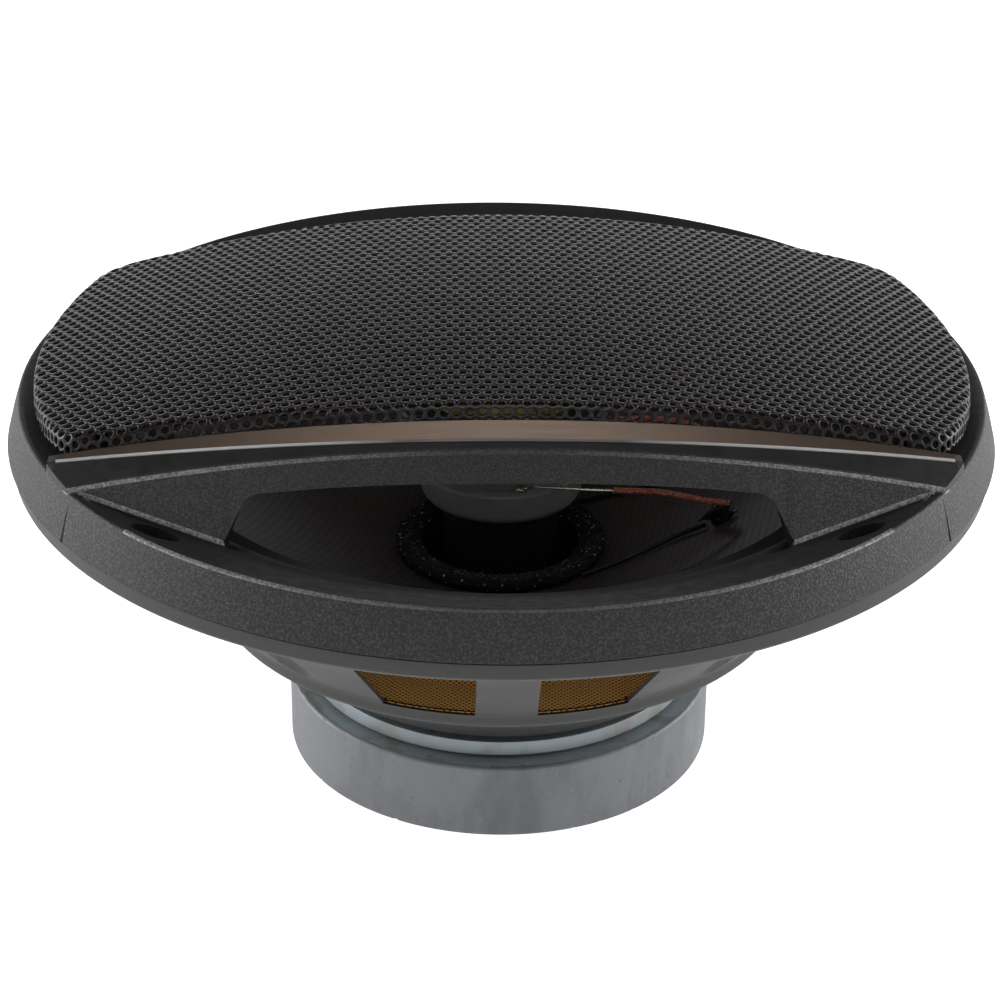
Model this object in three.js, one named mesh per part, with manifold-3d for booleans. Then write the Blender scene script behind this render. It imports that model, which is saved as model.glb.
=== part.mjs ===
// A round two-way coaxial car speaker of the 16.5 cm class, as a three.js scene of separate pieces.
// Millimetres. +Z points out of the front, +X runs along the wide mesh band, z = 0 is the back plate.
import * as THREE from "three";
import { mergeVertices } from "three/addons/utils/BufferGeometryUtils.js";
import Module from "manifold-3d";

const wasm = await Module();
wasm.setup();

// ---------------------------------------------------------------- driving dimensions

const LIP_Z = 75.2; // top edge of the grille ring
const LIP_RADIUS = 84;
const LIP_INNER_RADIUS = 81.9;
const WALL_FOOT_RADIUS = 86.2; // the ring's wall spreads a little downwards
const WALL_HEIGHT = 8;
const SHELF_DEPTH = 3; // how far the screw shelf lies below the lip at the window
const PLASTIC = 1.5; // thickness of the grille ring's moulded walls
const WINDOW_RADIUS = 73.3; // round edge of each crescent window
const SCREW_CIRCLE_RADIUS = 78.5;
const SCREW_HOLE_RADIUS = 2.5;
const SCREW_RECESS_RADIUS = 2.95;

const MESH_RADIUS = 81.3; // rounded ends of the mesh band
const MESH_HALF_DEPTH = 42; // half the band's width at the middle
const MESH_CROWN = 15.2; // crown of the dome above the lip
const MESH_SKIRT = 3;
const MESH_SHEET = 0.8;

const BASKET_FLANGE_TOP = 66.7;
const BASKET_FLANGE_BOTTOM = 63.4;
const BASKET_FLANGE_RADIUS = 85.4;
const BASKET_SEAT = 22; // underside of the basket, on the top plate
const WINDOW_SILL = 37.3; // lower edge of the basket's openings
const WINDOW_HEAD = 58; // upper edge of the basket's openings
const OPENING_HALF_ANGLE = THREE.MathUtils.degToRad(23);
const RIB_WIDTH = 10.3;

const BACK_PLATE = { radius: 31, thickness: 4 };
const MAGNET = { inner: 20, outer: 38.4, bottom: 4.3, top: 18.4 };
const TOP_PLATE = { inner: 16.3, outer: 35.3, bottom: 18.7, top: 21.7 };
const POLE_RADIUS = 14.5;
const POST_RADIUS = 10.3;
const POST_TOP = 53.7;

const CONE_NECK = { r: 15.5, z: 40.3 }; // upper surface of the cone at the voice coil
const CONE_EDGE = { r: 61.8, z: 62.6 };
const SURROUND_LANDING = { inner: 71, outer: 74, z: 62.9 }; // ledge for the surround in the flange
const CONE_SHEET = 0.8;
const EYELET = { x: 37.4, y: 11 }; // solder joints on the cone, one each side of the X axis

const TERMINAL_Y = 6; // offset of each blade terminal from the X axis
const TAB_TOP = 50; // the basket's shelf for the terminal board
const RIVET_X = 66.5;
const RIVET_HOLE_RADIUS = 1.5;

// Facets round a full turn: broad outer shells, ordinary round pieces and small ones.
const BROAD = 56;
const ROUND = 32;
const SMALL = 16;

// ---------------------------------------------------------------- shape helpers

const point = (x, y) => new THREE.Vector2(x, y);

// A ring or disc turned about Z. The outline is [radius, z] pairs, closed on itself or on the axis.
function turned(outline, segments = ROUND) {
  const points = outline.map(([r, z]) => point(r, z));
  if (THREE.ShapeUtils.area(points) < 0) points.reverse();
  const onAxis = points[0].x === 0 && points.at(-1).x === 0;
  if (!onAxis) points.push(points[0].clone());
  const geometry = new THREE.LatheGeometry(points, segments);
  geometry.rotateX(Math.PI / 2);
  return geometry;
}

// A block given by its lowest and highest corners.
function block([x0, y0, z0], [x1, y1, z1]) {
  const geometry = new THREE.BoxGeometry(x1 - x0, y1 - y0, z1 - z0);
  geometry.translate((x0 + x1) / 2, (y0 + y1) / 2, (z0 + z1) / 2);
  return geometry;
}

// An upright cylinder between two heights.
function drum(radius, z0, z1, x = 0, y = 0, segments = SMALL) {
  const geometry = new THREE.CylinderGeometry(radius, radius, z1 - z0, segments);
  geometry.rotateX(Math.PI / 2);
  geometry.translate(x, y, (z0 + z1) / 2);
  return geometry;
}

// A flat outline extruded upwards between two heights.
function prism(points, z0, z1) {
  const shape = new THREE.Shape(points);
  const geometry = new THREE.ExtrudeGeometry(shape, { depth: z1 - z0, bevelEnabled: false });
  geometry.translate(0, 0, z0);
  return geometry;
}

// A round wire through a list of points.
function wire(stops, radius, steps = 10) {
  const path = new THREE.CatmullRomCurve3(stops.map((stop) => new THREE.Vector3(...stop)));
  const section = new THREE.Shape().absarc(0, 0, radius, 0, 2 * Math.PI);
  const options = { extrudePath: path, steps, bevelEnabled: false, curveSegments: 3 };
  return new THREE.ExtrudeGeometry(section, options);
}

// A solid through equal cross-sections, each a closed loop of points in a plane of constant x.
function lofted(sections) {
  const count = sections[0].length;
  const triangles = [];
  for (let s = 0; s < sections.length - 1; s += 1) {
    for (let i = 0; i < count; i += 1) {
      const a = s * count + i;
      const b = s * count + ((i + 1) % count);
      triangles.push(a, b, a + count, b, b + count, a + count);
    }
  }
  const last = (sections.length - 1) * count;
  const flat = (section) => section.map((p) => point(p.y, p.z));
  for (const [i, j, k] of THREE.ShapeUtils.triangulateShape(flat(sections[0]), [])) {
    triangles.push(i, k, j);
  }
  for (const [i, j, k] of THREE.ShapeUtils.triangulateShape(flat(sections.at(-1)), [])) {
    triangles.push(last + i, last + j, last + k);
  }
  const geometry = new THREE.BufferGeometry().setFromPoints(sections.flat());
  geometry.setIndex(triangles);
  return geometry;
}

// A three.js geometry as a manifold-3d solid that faces outwards. A solid is passed on as it is.
function solid(geometry) {
  if (geometry instanceof wasm.Manifold) return geometry;
  const bare = geometry.clone();
  bare.deleteAttribute("normal");
  bare.deleteAttribute("uv");
  const merged = mergeVertices(bare, 1e-3);
  const index = Uint32Array.from(merged.index.array);
  const build = () =>
    new wasm.Manifold(
      new wasm.Mesh({
        numProp: 3,
        vertProperties: merged.attributes.position.array,
        triVerts: index,
      }),
    );
  const made = build();
  if (made.volume() > 0) return made;
  for (let i = 0; i < index.length; i += 3) {
    [index[i + 1], index[i + 2]] = [index[i + 2], index[i + 1]];
  }
  return build();
}

// A manifold-3d solid as a flat-shaded three.js geometry.
function faceted(made) {
  const mesh = made.getMesh();
  const geometry = new THREE.BufferGeometry();
  geometry.setAttribute("position", new THREE.BufferAttribute(mesh.vertProperties, 3));
  geometry.setIndex(new THREE.BufferAttribute(mesh.triVerts, 1));
  const facets = geometry.toNonIndexed();
  facets.computeVertexNormals();
  return facets;
}

// The first geometries joined into one, less the second ones.
function joined(wanted, removed = []) {
  const cut = removed.map(solid);
  const kept = wasm.Manifold.union(wanted.map(solid));
  return faceted(cut.length ? kept.subtract(wasm.Manifold.union(cut)) : kept);
}

const mirroredInY = (geometry) => solid(geometry).mirror([0, 1, 0]);
const range = (count) => Array.from({ length: count }, (_, i) => i);

// ---------------------------------------------------------------- materials

const finish = (color, roughness, metalness) =>
  new THREE.MeshStandardMaterial({ color, roughness, metalness });

const materials = {
  grainedPlastic: finish(0x3a3a3b, 0.75, 0),
  blackPlastic: finish(0x17171a, 0.5, 0),
  basketPlastic: finish(0x5c5b5c, 0.55, 0),
  meshSteel: finish(0x1d1b1a, 0.35, 0.6),
  bronzeTrim: finish(0x8b776b, 0.35, 0.8),
  zinc: finish(0x9aa5a8, 0.4, 0.9),
  ferrite: finish(0x75777b, 0.7, 0.2),
  wovenCone: finish(0x1f1b1a, 0.6, 0),
  rubber: finish(0x141414, 0.7, 0),
  spiderCloth: finish(0x9a6a22, 0.9, 0),
  felt: finish(0x1a1817, 1, 0),
  copper: finish(0xb0593e, 0.4, 0.9),
  aluminium: finish(0xb7b9bc, 0.35, 0.9),
  neodymium: finish(0xa9abad, 0.3, 0.9),
  amberFilm: finish(0xb9902f, 0.35, 0.1),
  fibreboard: finish(0x6b4a2b, 0.8, 0),
  solder: finish(0x101010, 0.2, 0.1),
  capacitorSleeve: finish(0x1d2a4a, 0.35, 0),
  foam: finish(0x202020, 1, 0),
};

const group = new THREE.Group();
group.name = "coaxial_car_speaker";

// Adds a named piece to a group.
function add(parent, name, geometry, material) {
  const mesh = new THREE.Mesh(geometry, material);
  mesh.name = name;
  parent.add(mesh);
  return mesh;
}

function newGroup(name, z = 0) {
  const made = new THREE.Group();
  made.name = name;
  made.position.z = z;
  group.add(made);
  return made;
}

// ---------------------------------------------------------------- motor

function buildMotor() {
  const motor = newGroup("motor");
  const bore = 2.7;
  const counterbore = { radius: 5.8, depth: 2.6 };
  const edge = 0.5;

  const { radius, thickness } = BACK_PLATE;
  const yoke = turned([
    [counterbore.radius, 0],
    [radius - edge, 0],
    [radius, edge],
    [radius, thickness - edge],
    [radius - edge, thickness],
    [POLE_RADIUS, thickness],
    [POLE_RADIUS, TOP_PLATE.top - edge],
    [POLE_RADIUS - edge, TOP_PLATE.top],
    [bore, TOP_PLATE.top],
    [bore, counterbore.depth],
    [counterbore.radius, counterbore.depth],
  ]);
  add(motor, "back_plate_with_pole", yoke, materials.zinc);

  add(motor, "ring_magnet", turned(chamferedRing(MAGNET, 0.8)), materials.ferrite);
  add(motor, "top_plate", turned(chamferedRing(TOP_PLATE, 0.3)), materials.zinc);

  const post = turned([
    [0, 31],
    [bore, 31],
    [bore, TOP_PLATE.top + 0.3],
    [POST_RADIUS, TOP_PLATE.top + 0.3],
    [POST_RADIUS, POST_TOP],
    [0, POST_TOP],
  ]);
  add(motor, "tweeter_post", post, materials.blackPlastic);

  const screw = turned(
    [
      [0, 0.4],
      [4.6, 0.4],
      [5.3, 1.1],
      [5.3, 2.3],
      [2.3, 2.3],
      [2.3, 30.4],
      [0, 30.4],
    ],
    SMALL,
  );
  const driveSlot = { halfLength: 3.2, halfWidth: 0.5, depth: 1.4 };
  const { halfLength, halfWidth, depth } = driveSlot;
  const cross = [
    block([-halfLength, -halfWidth, 0], [halfLength, halfWidth, depth]),
    block([-halfWidth, -halfLength, 0], [halfWidth, halfLength, depth]),
  ];
  add(motor, "post_screw", joined([screw], cross), materials.zinc);
}

// The outline of a flat ring with its outer corners taken off.
function chamferedRing({ inner, outer, bottom, top }, edge) {
  return [
    [inner, bottom],
    [outer - edge, bottom],
    [outer, bottom + edge],
    [outer, top - edge],
    [outer - edge, top],
    [inner, top],
  ];
}

// ---------------------------------------------------------------- basket and terminals

const BASKET_WALL = { foot: point(52, WINDOW_SILL), head: point(75.2, 62.6) };
const SPIDER_LEDGE = { inner: 45.8, outer: 50.7, z: 36 };
const TAB = { inner: 60.9, outer: 73.5, halfWidth: 12.5, thickness: 2.4 };
const LEAD_SLOT = { halfWidth: 12, top: 56, outer: 72 }; // opening in the wall above the tab

function buildBasket() {
  const frame = newGroup("frame");
  const bowl = turned(
    [
      [24, BASKET_SEAT],
      [33.8, BASKET_SEAT],
      [36, 23.2],
      [45.2, 30.6],
      [46.8, 33.2],
      [50.9, 34.4],
      [51.8, 35.1],
      [BASKET_WALL.foot.x, BASKET_WALL.foot.y],
      [BASKET_WALL.head.x, BASKET_WALL.head.y],
      [76.6, BASKET_FLANGE_BOTTOM],
      [BASKET_FLANGE_RADIUS - 0.7, BASKET_FLANGE_BOTTOM],
      [BASKET_FLANGE_RADIUS, BASKET_FLANGE_BOTTOM + 0.7],
      [BASKET_FLANGE_RADIUS, BASKET_FLANGE_TOP],
      [SURROUND_LANDING.outer + 0.4, BASKET_FLANGE_TOP],
      [SURROUND_LANDING.outer + 0.4, SURROUND_LANDING.z],
      [SURROUND_LANDING.inner, SURROUND_LANDING.z],
      [SURROUND_LANDING.inner, 61],
      [SPIDER_LEDGE.outer, 38.9],
      [SPIDER_LEDGE.outer, SPIDER_LEDGE.z],
      [SPIDER_LEDGE.inner, SPIDER_LEDGE.z],
      [45.2, 34.2],
      [34.6, 25.6],
      [33, 24.4],
      [24, 24.4],
    ],
    BROAD,
  );
  const tab = block(
    [TAB.inner, -TAB.halfWidth, TAB_TOP - TAB.thickness],
    [TAB.outer, TAB.halfWidth, TAB_TOP],
  );
  const cuts = [...basketOpenings(), ...spokeChannels(), ...rivetHoles()];
  for (const [x, y] of screwPlaces()) {
    cuts.push(drum(SCREW_HOLE_RADIUS + 0.1, 60, 70, x, y));
  }
  cuts.push(
    block([57, -LEAD_SLOT.halfWidth, TAB_TOP], [LEAD_SLOT.outer, LEAD_SLOT.halfWidth, LEAD_SLOT.top]),
  );
  add(frame, "basket", joined([bowl, tab], cuts), materials.basketPlastic);

  const clampRing = turned([
    [SURROUND_LANDING.inner, SURROUND_LANDING.z + 1.3],
    [SURROUND_LANDING.outer, SURROUND_LANDING.z + 1.3],
    [SURROUND_LANDING.outer, SURROUND_LANDING.z + 3.6],
    [SURROUND_LANDING.inner, SURROUND_LANDING.z + 3.6],
  ]);
  add(frame, "surround_clamp_ring", clampRing, materials.foam);
}

// The four mounting screws stand on the diagonals.
function screwPlaces() {
  return range(4).map((i) => {
    const angle = Math.PI / 4 + (i * Math.PI) / 2;
    return [SCREW_CIRCLE_RADIUS * Math.cos(angle), SCREW_CIRCLE_RADIUS * Math.sin(angle)];
  });
}

// Two openings at the front and two at the back, each pair parted by a straight rib.
function basketOpenings() {
  const far = 90;
  const nearY = RIB_WIDTH / 2 / Math.tan(OPENING_HALF_ANGLE);
  const wedge = [
    point(RIB_WIDTH / 2, nearY),
    point(RIB_WIDTH / 2, far),
    point(far * Math.tan(OPENING_HALF_ANGLE), far),
  ];
  const opening = prism(wedge, WINDOW_SILL, WINDOW_HEAD);
  return range(4).map((i) => {
    const sign = [
      [1, 1],
      [1, -1],
      [-1, 1],
      [-1, -1],
    ][i];
    return opening.clone().scale(sign[0], sign[1], 1);
  });
}

// A shallow round channel down each broad spoke.
function spokeChannels() {
  const radius = 9;
  const depth = 1.2;
  const { foot, head } = BASKET_WALL;
  const along = head.clone().sub(foot).normalize();
  const outwards = point(along.y, -along.x);
  const middle = foot.clone().lerp(head, 0.5).addScaledVector(outwards, radius - depth);
  const tilt = Math.atan2(along.x, along.y);
  return [50, 130, 230, 310].map((angle) => {
    const capsule = new THREE.CapsuleGeometry(radius, 12, 3, 12);
    capsule.rotateX(Math.PI / 2);
    capsule.rotateY(tilt);
    capsule.translate(middle.x, 0, middle.y);
    capsule.rotateZ(THREE.MathUtils.degToRad(angle));
    return capsule;
  });
}

function rivetHoles() {
  return [-1, 1].map((side) => drum(RIVET_HOLE_RADIUS, 40, 60, RIVET_X, side * TERMINAL_Y));
}

function buildTerminals() {
  const terminals = newGroup("terminals");
  const board = { bottom: TAB_TOP + 0.3, top: TAB_TOP + 2.3, inner: 58, outer: 72.5, halfWidth: 11.4 };
  const boardBlock = block(
    [board.inner, -board.halfWidth, board.bottom],
    [board.outer, board.halfWidth, board.top],
  );
  add(terminals, "terminal_board", joined([boardBlock], rivetHoles()), materials.fibreboard);

  const strip = { bottom: board.top + 0.3, top: board.top + 1.1, inner: 59, tip: 80 };
  for (const [name, side, bladeWidth] of [
    ["positive_terminal", 1, 6.3],
    ["negative_terminal", -1, 4.8],
  ]) {
    const y = side * TERMINAL_Y;
    const pad = block([strip.inner, y - 3.2, strip.bottom], [71, y + 3.2, strip.top]);
    const blade = block(
      [70, y - bladeWidth / 2, strip.bottom],
      [strip.tip, y + bladeWidth / 2, strip.top],
    );
    const holes = [...rivetHoles(), drum(0.9, 50, 56, strip.tip - 3, y, 12)];
    add(terminals, name, joined([pad, blade], holes), materials.zinc);

    const rivet = turned(
      [
        [0, 46.5],
        [2, 46.5],
        [2.2, 46.9],
        [2.2, 47.3],
        [1.2, 47.3],
        [1.2, strip.top + 0.3],
        [2.3, strip.top + 0.3],
        [1.7, strip.top + 1.1],
        [0, strip.top + 1.3],
      ],
      SMALL,
    );
    const placed = add(terminals, name.replace("terminal", "rivet"), rivet, materials.zinc);
    placed.position.set(RIVET_X, y, 0);
  }

  const can = { radius: 4.6, halfLength: 8.5, x: 66.5, z: 41.2 };
  const sleeve = turned(
    [
      [0, -can.halfLength],
      [can.radius - 0.6, -can.halfLength],
      [can.radius, -can.halfLength + 0.6],
      [can.radius, can.halfLength - 0.6],
      [can.radius - 0.6, can.halfLength],
      [0, can.halfLength],
    ],
    SMALL,
  );
  sleeve.rotateX(Math.PI / 2);
  sleeve.translate(can.x, 0, can.z);
  const leads = [-1, 1].map((side) =>
    wire(
      [
        [can.x, side * (can.halfLength - 1), can.z],
        [can.x, side * 12, can.z],
        [can.x, side * 13.4, can.z + 2],
        [can.x, side * 13.4, 50],
        [can.x, side * 13, 52.6],
        [can.x, side * 9.8, 53],
      ],
      0.4,
    ),
  );
  const capacitor = joined([sleeve, ...leads]);
  add(terminals, "crossover_capacitor", capacitor, materials.capacitorSleeve);
}

// ---------------------------------------------------------------- cone assembly

const CONE_SLOPE = (CONE_EDGE.z - CONE_NECK.z) / (CONE_EDGE.r - CONE_NECK.r);
const coneTop = (r) => CONE_NECK.z + (r - CONE_NECK.r) * CONE_SLOPE;

function buildCone() {
  const moving = newGroup("cone_assembly");
  const cone = turned([
    [CONE_NECK.r, CONE_NECK.z],
    [CONE_EDGE.r, CONE_EDGE.z],
    [CONE_EDGE.r + 0.3, CONE_EDGE.z - 0.5],
    [CONE_NECK.r + 0.4, CONE_NECK.z - CONE_SHEET - 0.1],
    [CONE_NECK.r, CONE_NECK.z - 1.6],
  ]);
  add(moving, "cone", cone, materials.wovenCone);

  const former = { inner: 14.9, outer: 15.3, bottom: 13.8, top: 42.6 };
  add(moving, "voice_coil_former", turned(flatRing(former)), materials.aluminium);

  const winding = { inner: 15.4, outer: 15.95, bottom: 14.2, top: 26.2 };
  add(moving, "voice_coil_winding", turned(flatRing(winding)), materials.copper);

  const felt = turned([
    [15.6, 40.9],
    [18.4, coneTop(18.4) + 0.3],
    [18.9, 43.2],
    [18.5, 44.3],
    [16.2, 44.5],
    [15.6, 43.9],
  ]);
  add(moving, "felt_neck_ring", felt, materials.felt);

  const radius = Math.hypot(EYELET.x, EYELET.y);
  for (const [name, side] of [
    ["front", -1],
    ["rear", 1],
  ]) {
    const blob = new THREE.SphereGeometry(2.1, 12, 7);
    blob.scale(1, 1.15, 0.7);
    const joint = add(moving, `${name}_solder_joint`, blob, materials.solder);
    joint.position.set(EYELET.x, side * EYELET.y, coneTop(radius) + 2);

    const stops = [0, 0.25, 0.5, 0.75, 1].map((t) => {
      const r = THREE.MathUtils.lerp(radius - 3.6, 19.9, t);
      const angle = side * THREE.MathUtils.lerp(0.3, 0.78, t * t);
      return [r * Math.cos(angle), r * Math.sin(angle), coneTop(r) + 0.75];
    });
    add(moving, `${name}_coil_lead`, wire(stops, 0.35), materials.blackPlastic);
  }
}

function flatRing({ inner, outer, bottom, top }) {
  return [
    [inner, bottom],
    [outer, bottom],
    [outer, top],
    [inner, top],
  ];
}

// ---------------------------------------------------------------- suspension and flexible leads

function buildSuspension() {
  const suspension = newGroup("suspension");
  const roll = { centre: 66.4, radius: 4.2, base: SURROUND_LANDING.z + 0.3, sheet: 0.7 };
  const arc = (radius, from, to) =>
    range(7).map((i) => {
      const angle = THREE.MathUtils.lerp(from, to, i / 6);
      return [roll.centre + radius * Math.cos(angle), roll.base + radius * Math.sin(angle)];
    });
  const surround = turned([
    [roll.centre - roll.radius, roll.base],
    [CONE_EDGE.r - 4, CONE_EDGE.z + 0.3],
    [CONE_EDGE.r - 4, CONE_EDGE.z + 1],
    ...arc(roll.radius, Math.PI * 0.94, Math.PI * 0.06),
    [roll.centre + roll.radius + 0.4, roll.base + roll.sheet],
    [SURROUND_LANDING.outer, roll.base + roll.sheet],
    [SURROUND_LANDING.outer, roll.base],
    [roll.centre + roll.radius - roll.sheet, roll.base],
    ...arc(roll.radius - roll.sheet, Math.PI * 0.08, Math.PI * 0.92),
  ]);
  add(suspension, "surround", surround, materials.rubber);

  const spiderZ = (r) => 37 + (r > 19 && r < 44 ? 1.1 * Math.sin((r - 19) * ((2 * Math.PI) / 12.5)) : 0);
  const radii = [15.6, 18, ...range(9).map((i) => 19 + (i * 25) / 8), SPIDER_LEDGE.outer - 0.3];
  const sheet = 0.6;
  const spider = turned(
    [
      ...radii.map((r) => [r, spiderZ(r) - sheet]),
      ...[...radii].reverse().map((r) => [r, spiderZ(r)]),
    ],
  );
  add(suspension, "spider", spider, materials.spiderCloth);

  for (const [name, side] of [
    ["negative", -1],
    ["positive", 1],
  ]) {
    const tinsel = wire(
      [
        [61, side * TERMINAL_Y, 54.4],
        [56.5, side * 6.6, 53.8],
        [51, side * 7.8, 50.6],
        [45, side * 9.2, 49.4],
        [41, side * 10.2, 51.4],
      ],
      0.6,
    );
    add(suspension, `${name}_tinsel_lead`, tinsel, materials.copper);
  }

  for (const [name, side, lift] of [
    ["front", -1, 0],
    ["rear", 1, 1.6],
  ]) {
    const lead = wire(
      [
        [7.2, side * 11, 59.8],
        [17, side * 12, 59.5 + lift],
        [28, side * 12.8, 58.9 + lift],
        [35, side * 12.4, 58.2 + lift],
        [38.6, side * 11.4, 57.6],
      ],
      0.55,
    );
    add(suspension, `${name}_tweeter_lead`, lead, materials.copper);
  }
}

// ---------------------------------------------------------------- tweeter

function buildTweeter() {
  const tweeter = newGroup("tweeter", 54);
  const housing = turned([
    [0, 0],
    [12.6, 0],
    [13.6, 0.9],
    [13.9, 4.6],
    [12.2, 5],
    [12.2, 6.6],
    [17.2, 10.6],
    [18.6, 13.4],
    [18.6, 17],
    [17.6, 17],
    [17.4, 12.6],
    [13.2, 9.4],
    [11.3, 8.8],
    [11.3, 3],
    [0, 3],
  ]);
  add(tweeter, "tweeter_housing", housing, materials.blackPlastic);

  const pot = turned(
    [
      [0, 3.3],
      [11, 3.3],
      [11, 12],
      [9.9, 12],
      [9.9, 4.6],
      [0, 4.6],
    ],
  );
  add(tweeter, "tweeter_magnet_pot", pot, materials.zinc);
  add(tweeter, "tweeter_magnet", drum(8.2, 4.9, 9.3, 0, 0, ROUND), materials.neodymium);
  add(tweeter, "tweeter_pole_plate", drum(8.4, 9.6, 11.8, 0, 0, ROUND), materials.zinc);

  const coil = { inner: 8.85, outer: 9.4, bottom: 9, top: 12.9 };
  add(tweeter, "tweeter_voice_coil", turned(flatRing(coil)), materials.copper);

  const dome = { radius: 9.4, rise: 3.6, base: 13.9, sheet: 0.6 };
  const domeHeight = (r) => dome.base + dome.rise * (1 - (r / dome.radius) ** 2);
  const domeRadii = range(5).map((i) => (dome.radius * i) / 4);
  const film = turned(
    [
      ...domeRadii.map((r) => [r, domeHeight(r) - dome.sheet]),
      [12, dome.base - dome.sheet],
      [12, dome.base],
      ...[...domeRadii].reverse().map((r) => [r, domeHeight(r)]),
    ],
  );
  add(tweeter, "tweeter_dome", film, materials.amberFilm);

  const carrier = { inner: 12.4, outer: 17, bottom: 13, top: 14.4 };
  add(tweeter, "tweeter_dome_carrier", turned(flatRing(carrier)), materials.amberFilm);

  const guardRing = turned(flatRing({ inner: 13.6, outer: 18.2, bottom: 17.3, top: 18.7 }));
  const arms = range(3).map((i) => {
    const arm = block([0, -0.9, 17.9], [14.6, 0.9, 19.2]);
    return arm.rotateZ(Math.PI / 2 + (i * 2 * Math.PI) / 3);
  });
  const guard = joined([guardRing, drum(3, 17.9, 19.4), ...arms]);
  add(tweeter, "tweeter_guard", guard, materials.blackPlastic);
}

// ---------------------------------------------------------------- grille

// Heights in this section are above the lip. Fronts are built at -Y and mirrored for the back.
const meshHalfDepth = (x) => MESH_HALF_DEPTH - 5.5 * (x / 72) ** 2;
const meshTop = (x, y) => MESH_CROWN - 9 * (x / 72) ** 2 - 1.2 * (y / MESH_HALF_DEPTH) ** 2;
const meshFrontTop = (x) => meshTop(x, meshHalfDepth(x));
const trimEdge = {
  y: (x) => 45.5 - 7.5 * (x / 73) ** 2,
  z: (x) => 9.4 - 7.4 * (x / 73) ** 2,
};
const ridge = {
  y: (x) => 47.9 - 2.6 * (x / 71) ** 2,
  z: (x) => 8.6 - 8.1 * (x / 71) ** 2,
};
// The sloping face ends on a straight rising line each side of the window, and inside it between.
const FACE_FOOT = { x: 44.6, y: 58.3, z: -2.3, fall: 0.533, rise: 2.3 / 24, innerRadius: 72.8 };
const faceFoot = (x) => {
  const beyond = Math.abs(x) - FACE_FOOT.x;
  if (beyond < 0) return { y: Math.sqrt(FACE_FOOT.innerRadius ** 2 - x ** 2), z: FACE_FOOT.z };
  const rise = Math.min(beyond * FACE_FOOT.rise, -FACE_FOOT.z);
  return { y: FACE_FOOT.y - beyond * FACE_FOOT.fall, z: FACE_FOOT.z + rise };
};

function buildGrille() {
  const grille = newGroup("grille", LIP_Z);
  add(grille, "grille_ring", grilleRing(), materials.grainedPlastic);
  add(grille, "grille_mesh", meshShell(), materials.meshSteel);
  const front = trimStrip();
  add(grille, "front_trim_strip", faceted(front), materials.bronzeTrim);
  add(grille, "rear_trim_strip", faceted(mirroredInY(front)), materials.bronzeTrim);
}

function grilleRing() {
  const foot = -WALL_HEIGHT;
  const shelf = -SHELF_DEPTH;
  const rim = turned(
    [
      [WINDOW_RADIUS, shelf],
      [WINDOW_RADIUS + 1.4, shelf + 0.1],
      [SCREW_CIRCLE_RADIUS - 0.3, shelf + 1.2],
      [LIP_INNER_RADIUS, -0.6],
      [LIP_INNER_RADIUS + 1.2, 0],
      [LIP_RADIUS - 0.4, 0],
      [LIP_RADIUS, -0.4],
      [WALL_FOOT_RADIUS, foot],
      [WALL_FOOT_RADIUS - PLASTIC, foot],
      [LIP_RADIUS - 0.6, shelf - PLASTIC],
      [WINDOW_RADIUS, shelf - PLASTIC],
    ],
    BROAD,
  );
  const crescent = trimmedToRing(lofted(crossings(75, 16).map(crescentSection)));
  const bosses = screwPlaces().map(([x, y]) => drum(4.2, -8, shelf - 0.5, x, y));
  const removed = screwPlaces().flatMap(([x, y]) => [
    drum(SCREW_HOLE_RADIUS, -12, 2, x, y),
    drum(SCREW_RECESS_RADIUS, -5, 2, x, y),
  ]);
  const window = crescentWindow();
  removed.push(window, mirroredInY(window));
  return joined([rim, crescent, mirroredInY(crescent), ...bosses], removed);
}

// Evenly spaced x values from one side of the band to the other.
function crossings(halfLength, steps) {
  return range(steps + 1).map((i) => THREE.MathUtils.lerp(-halfLength, halfLength, i / steps));
}

// Cross-section of the bridge between mesh and window: ledge for mesh and trim, then the face.
function crescentSection(x) {
  const ledge = meshFrontTop(x) - MESH_SKIRT - 0.5;
  const inner = meshHalfDepth(x) - 2.2;
  const wall = trimEdge.y(x) + 0.15;
  const ridgeY = Math.max(ridge.y(x), wall + 0.5);
  const foot = faceFoot(x);
  const footY = Math.max(foot.y, ridgeY + 0.5);
  const under = -SHELF_DEPTH - PLASTIC + 0.1;
  const outline = [
    [inner, ledge - PLASTIC],
    [inner, ledge],
    [meshHalfDepth(x) + 0.2, ledge],
    [wall, Math.min(trimEdge.z(x) - 1, ledge)],
    [wall, trimEdge.z(x)],
    [ridgeY, ridge.z(x)],
    [footY, foot.z],
    [footY + 0.3, -SHELF_DEPTH - 0.1],
    [footY + 0.3, under],
    [Math.max(footY - 1.2, ridgeY + 0.3), under],
    [ridgeY + 0.1, Math.max(ridge.z(x) - 1.3, under - 1)],
  ];
  return outline.map(([y, z]) => new THREE.Vector3(x, -y, z));
}

// The part of a geometry that lies inside the ring's lip.
function trimmedToRing(geometry) {
  const inside = drum(LIP_RADIUS - 0.3, -20, 30, 0, 0, BROAD);
  return solid(geometry).intersect(solid(inside));
}

// Plan of the crescent window: a nearly straight back edge, slanting sides and a round front edge.
function crescentWindow() {
  const corner = -Math.acos(45 / WINDOW_RADIUS);
  const outline = new THREE.Shape();
  outline.moveTo(-42.4, -53.2);
  outline.quadraticCurveTo(-41.2, -51.3, -38, -52.1);
  outline.quadraticCurveTo(-20, -53.7, 0, -53.9);
  outline.quadraticCurveTo(20, -53.7, 38, -52.1);
  outline.quadraticCurveTo(41.2, -51.3, 42.4, -53.2);
  outline.absarc(0, 0, WINDOW_RADIUS, corner, -Math.PI - corner, true);
  const geometry = new THREE.ExtrudeGeometry(outline, { depth: 40, bevelEnabled: false });
  geometry.translate(0, 0, -20);
  return geometry;
}

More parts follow.
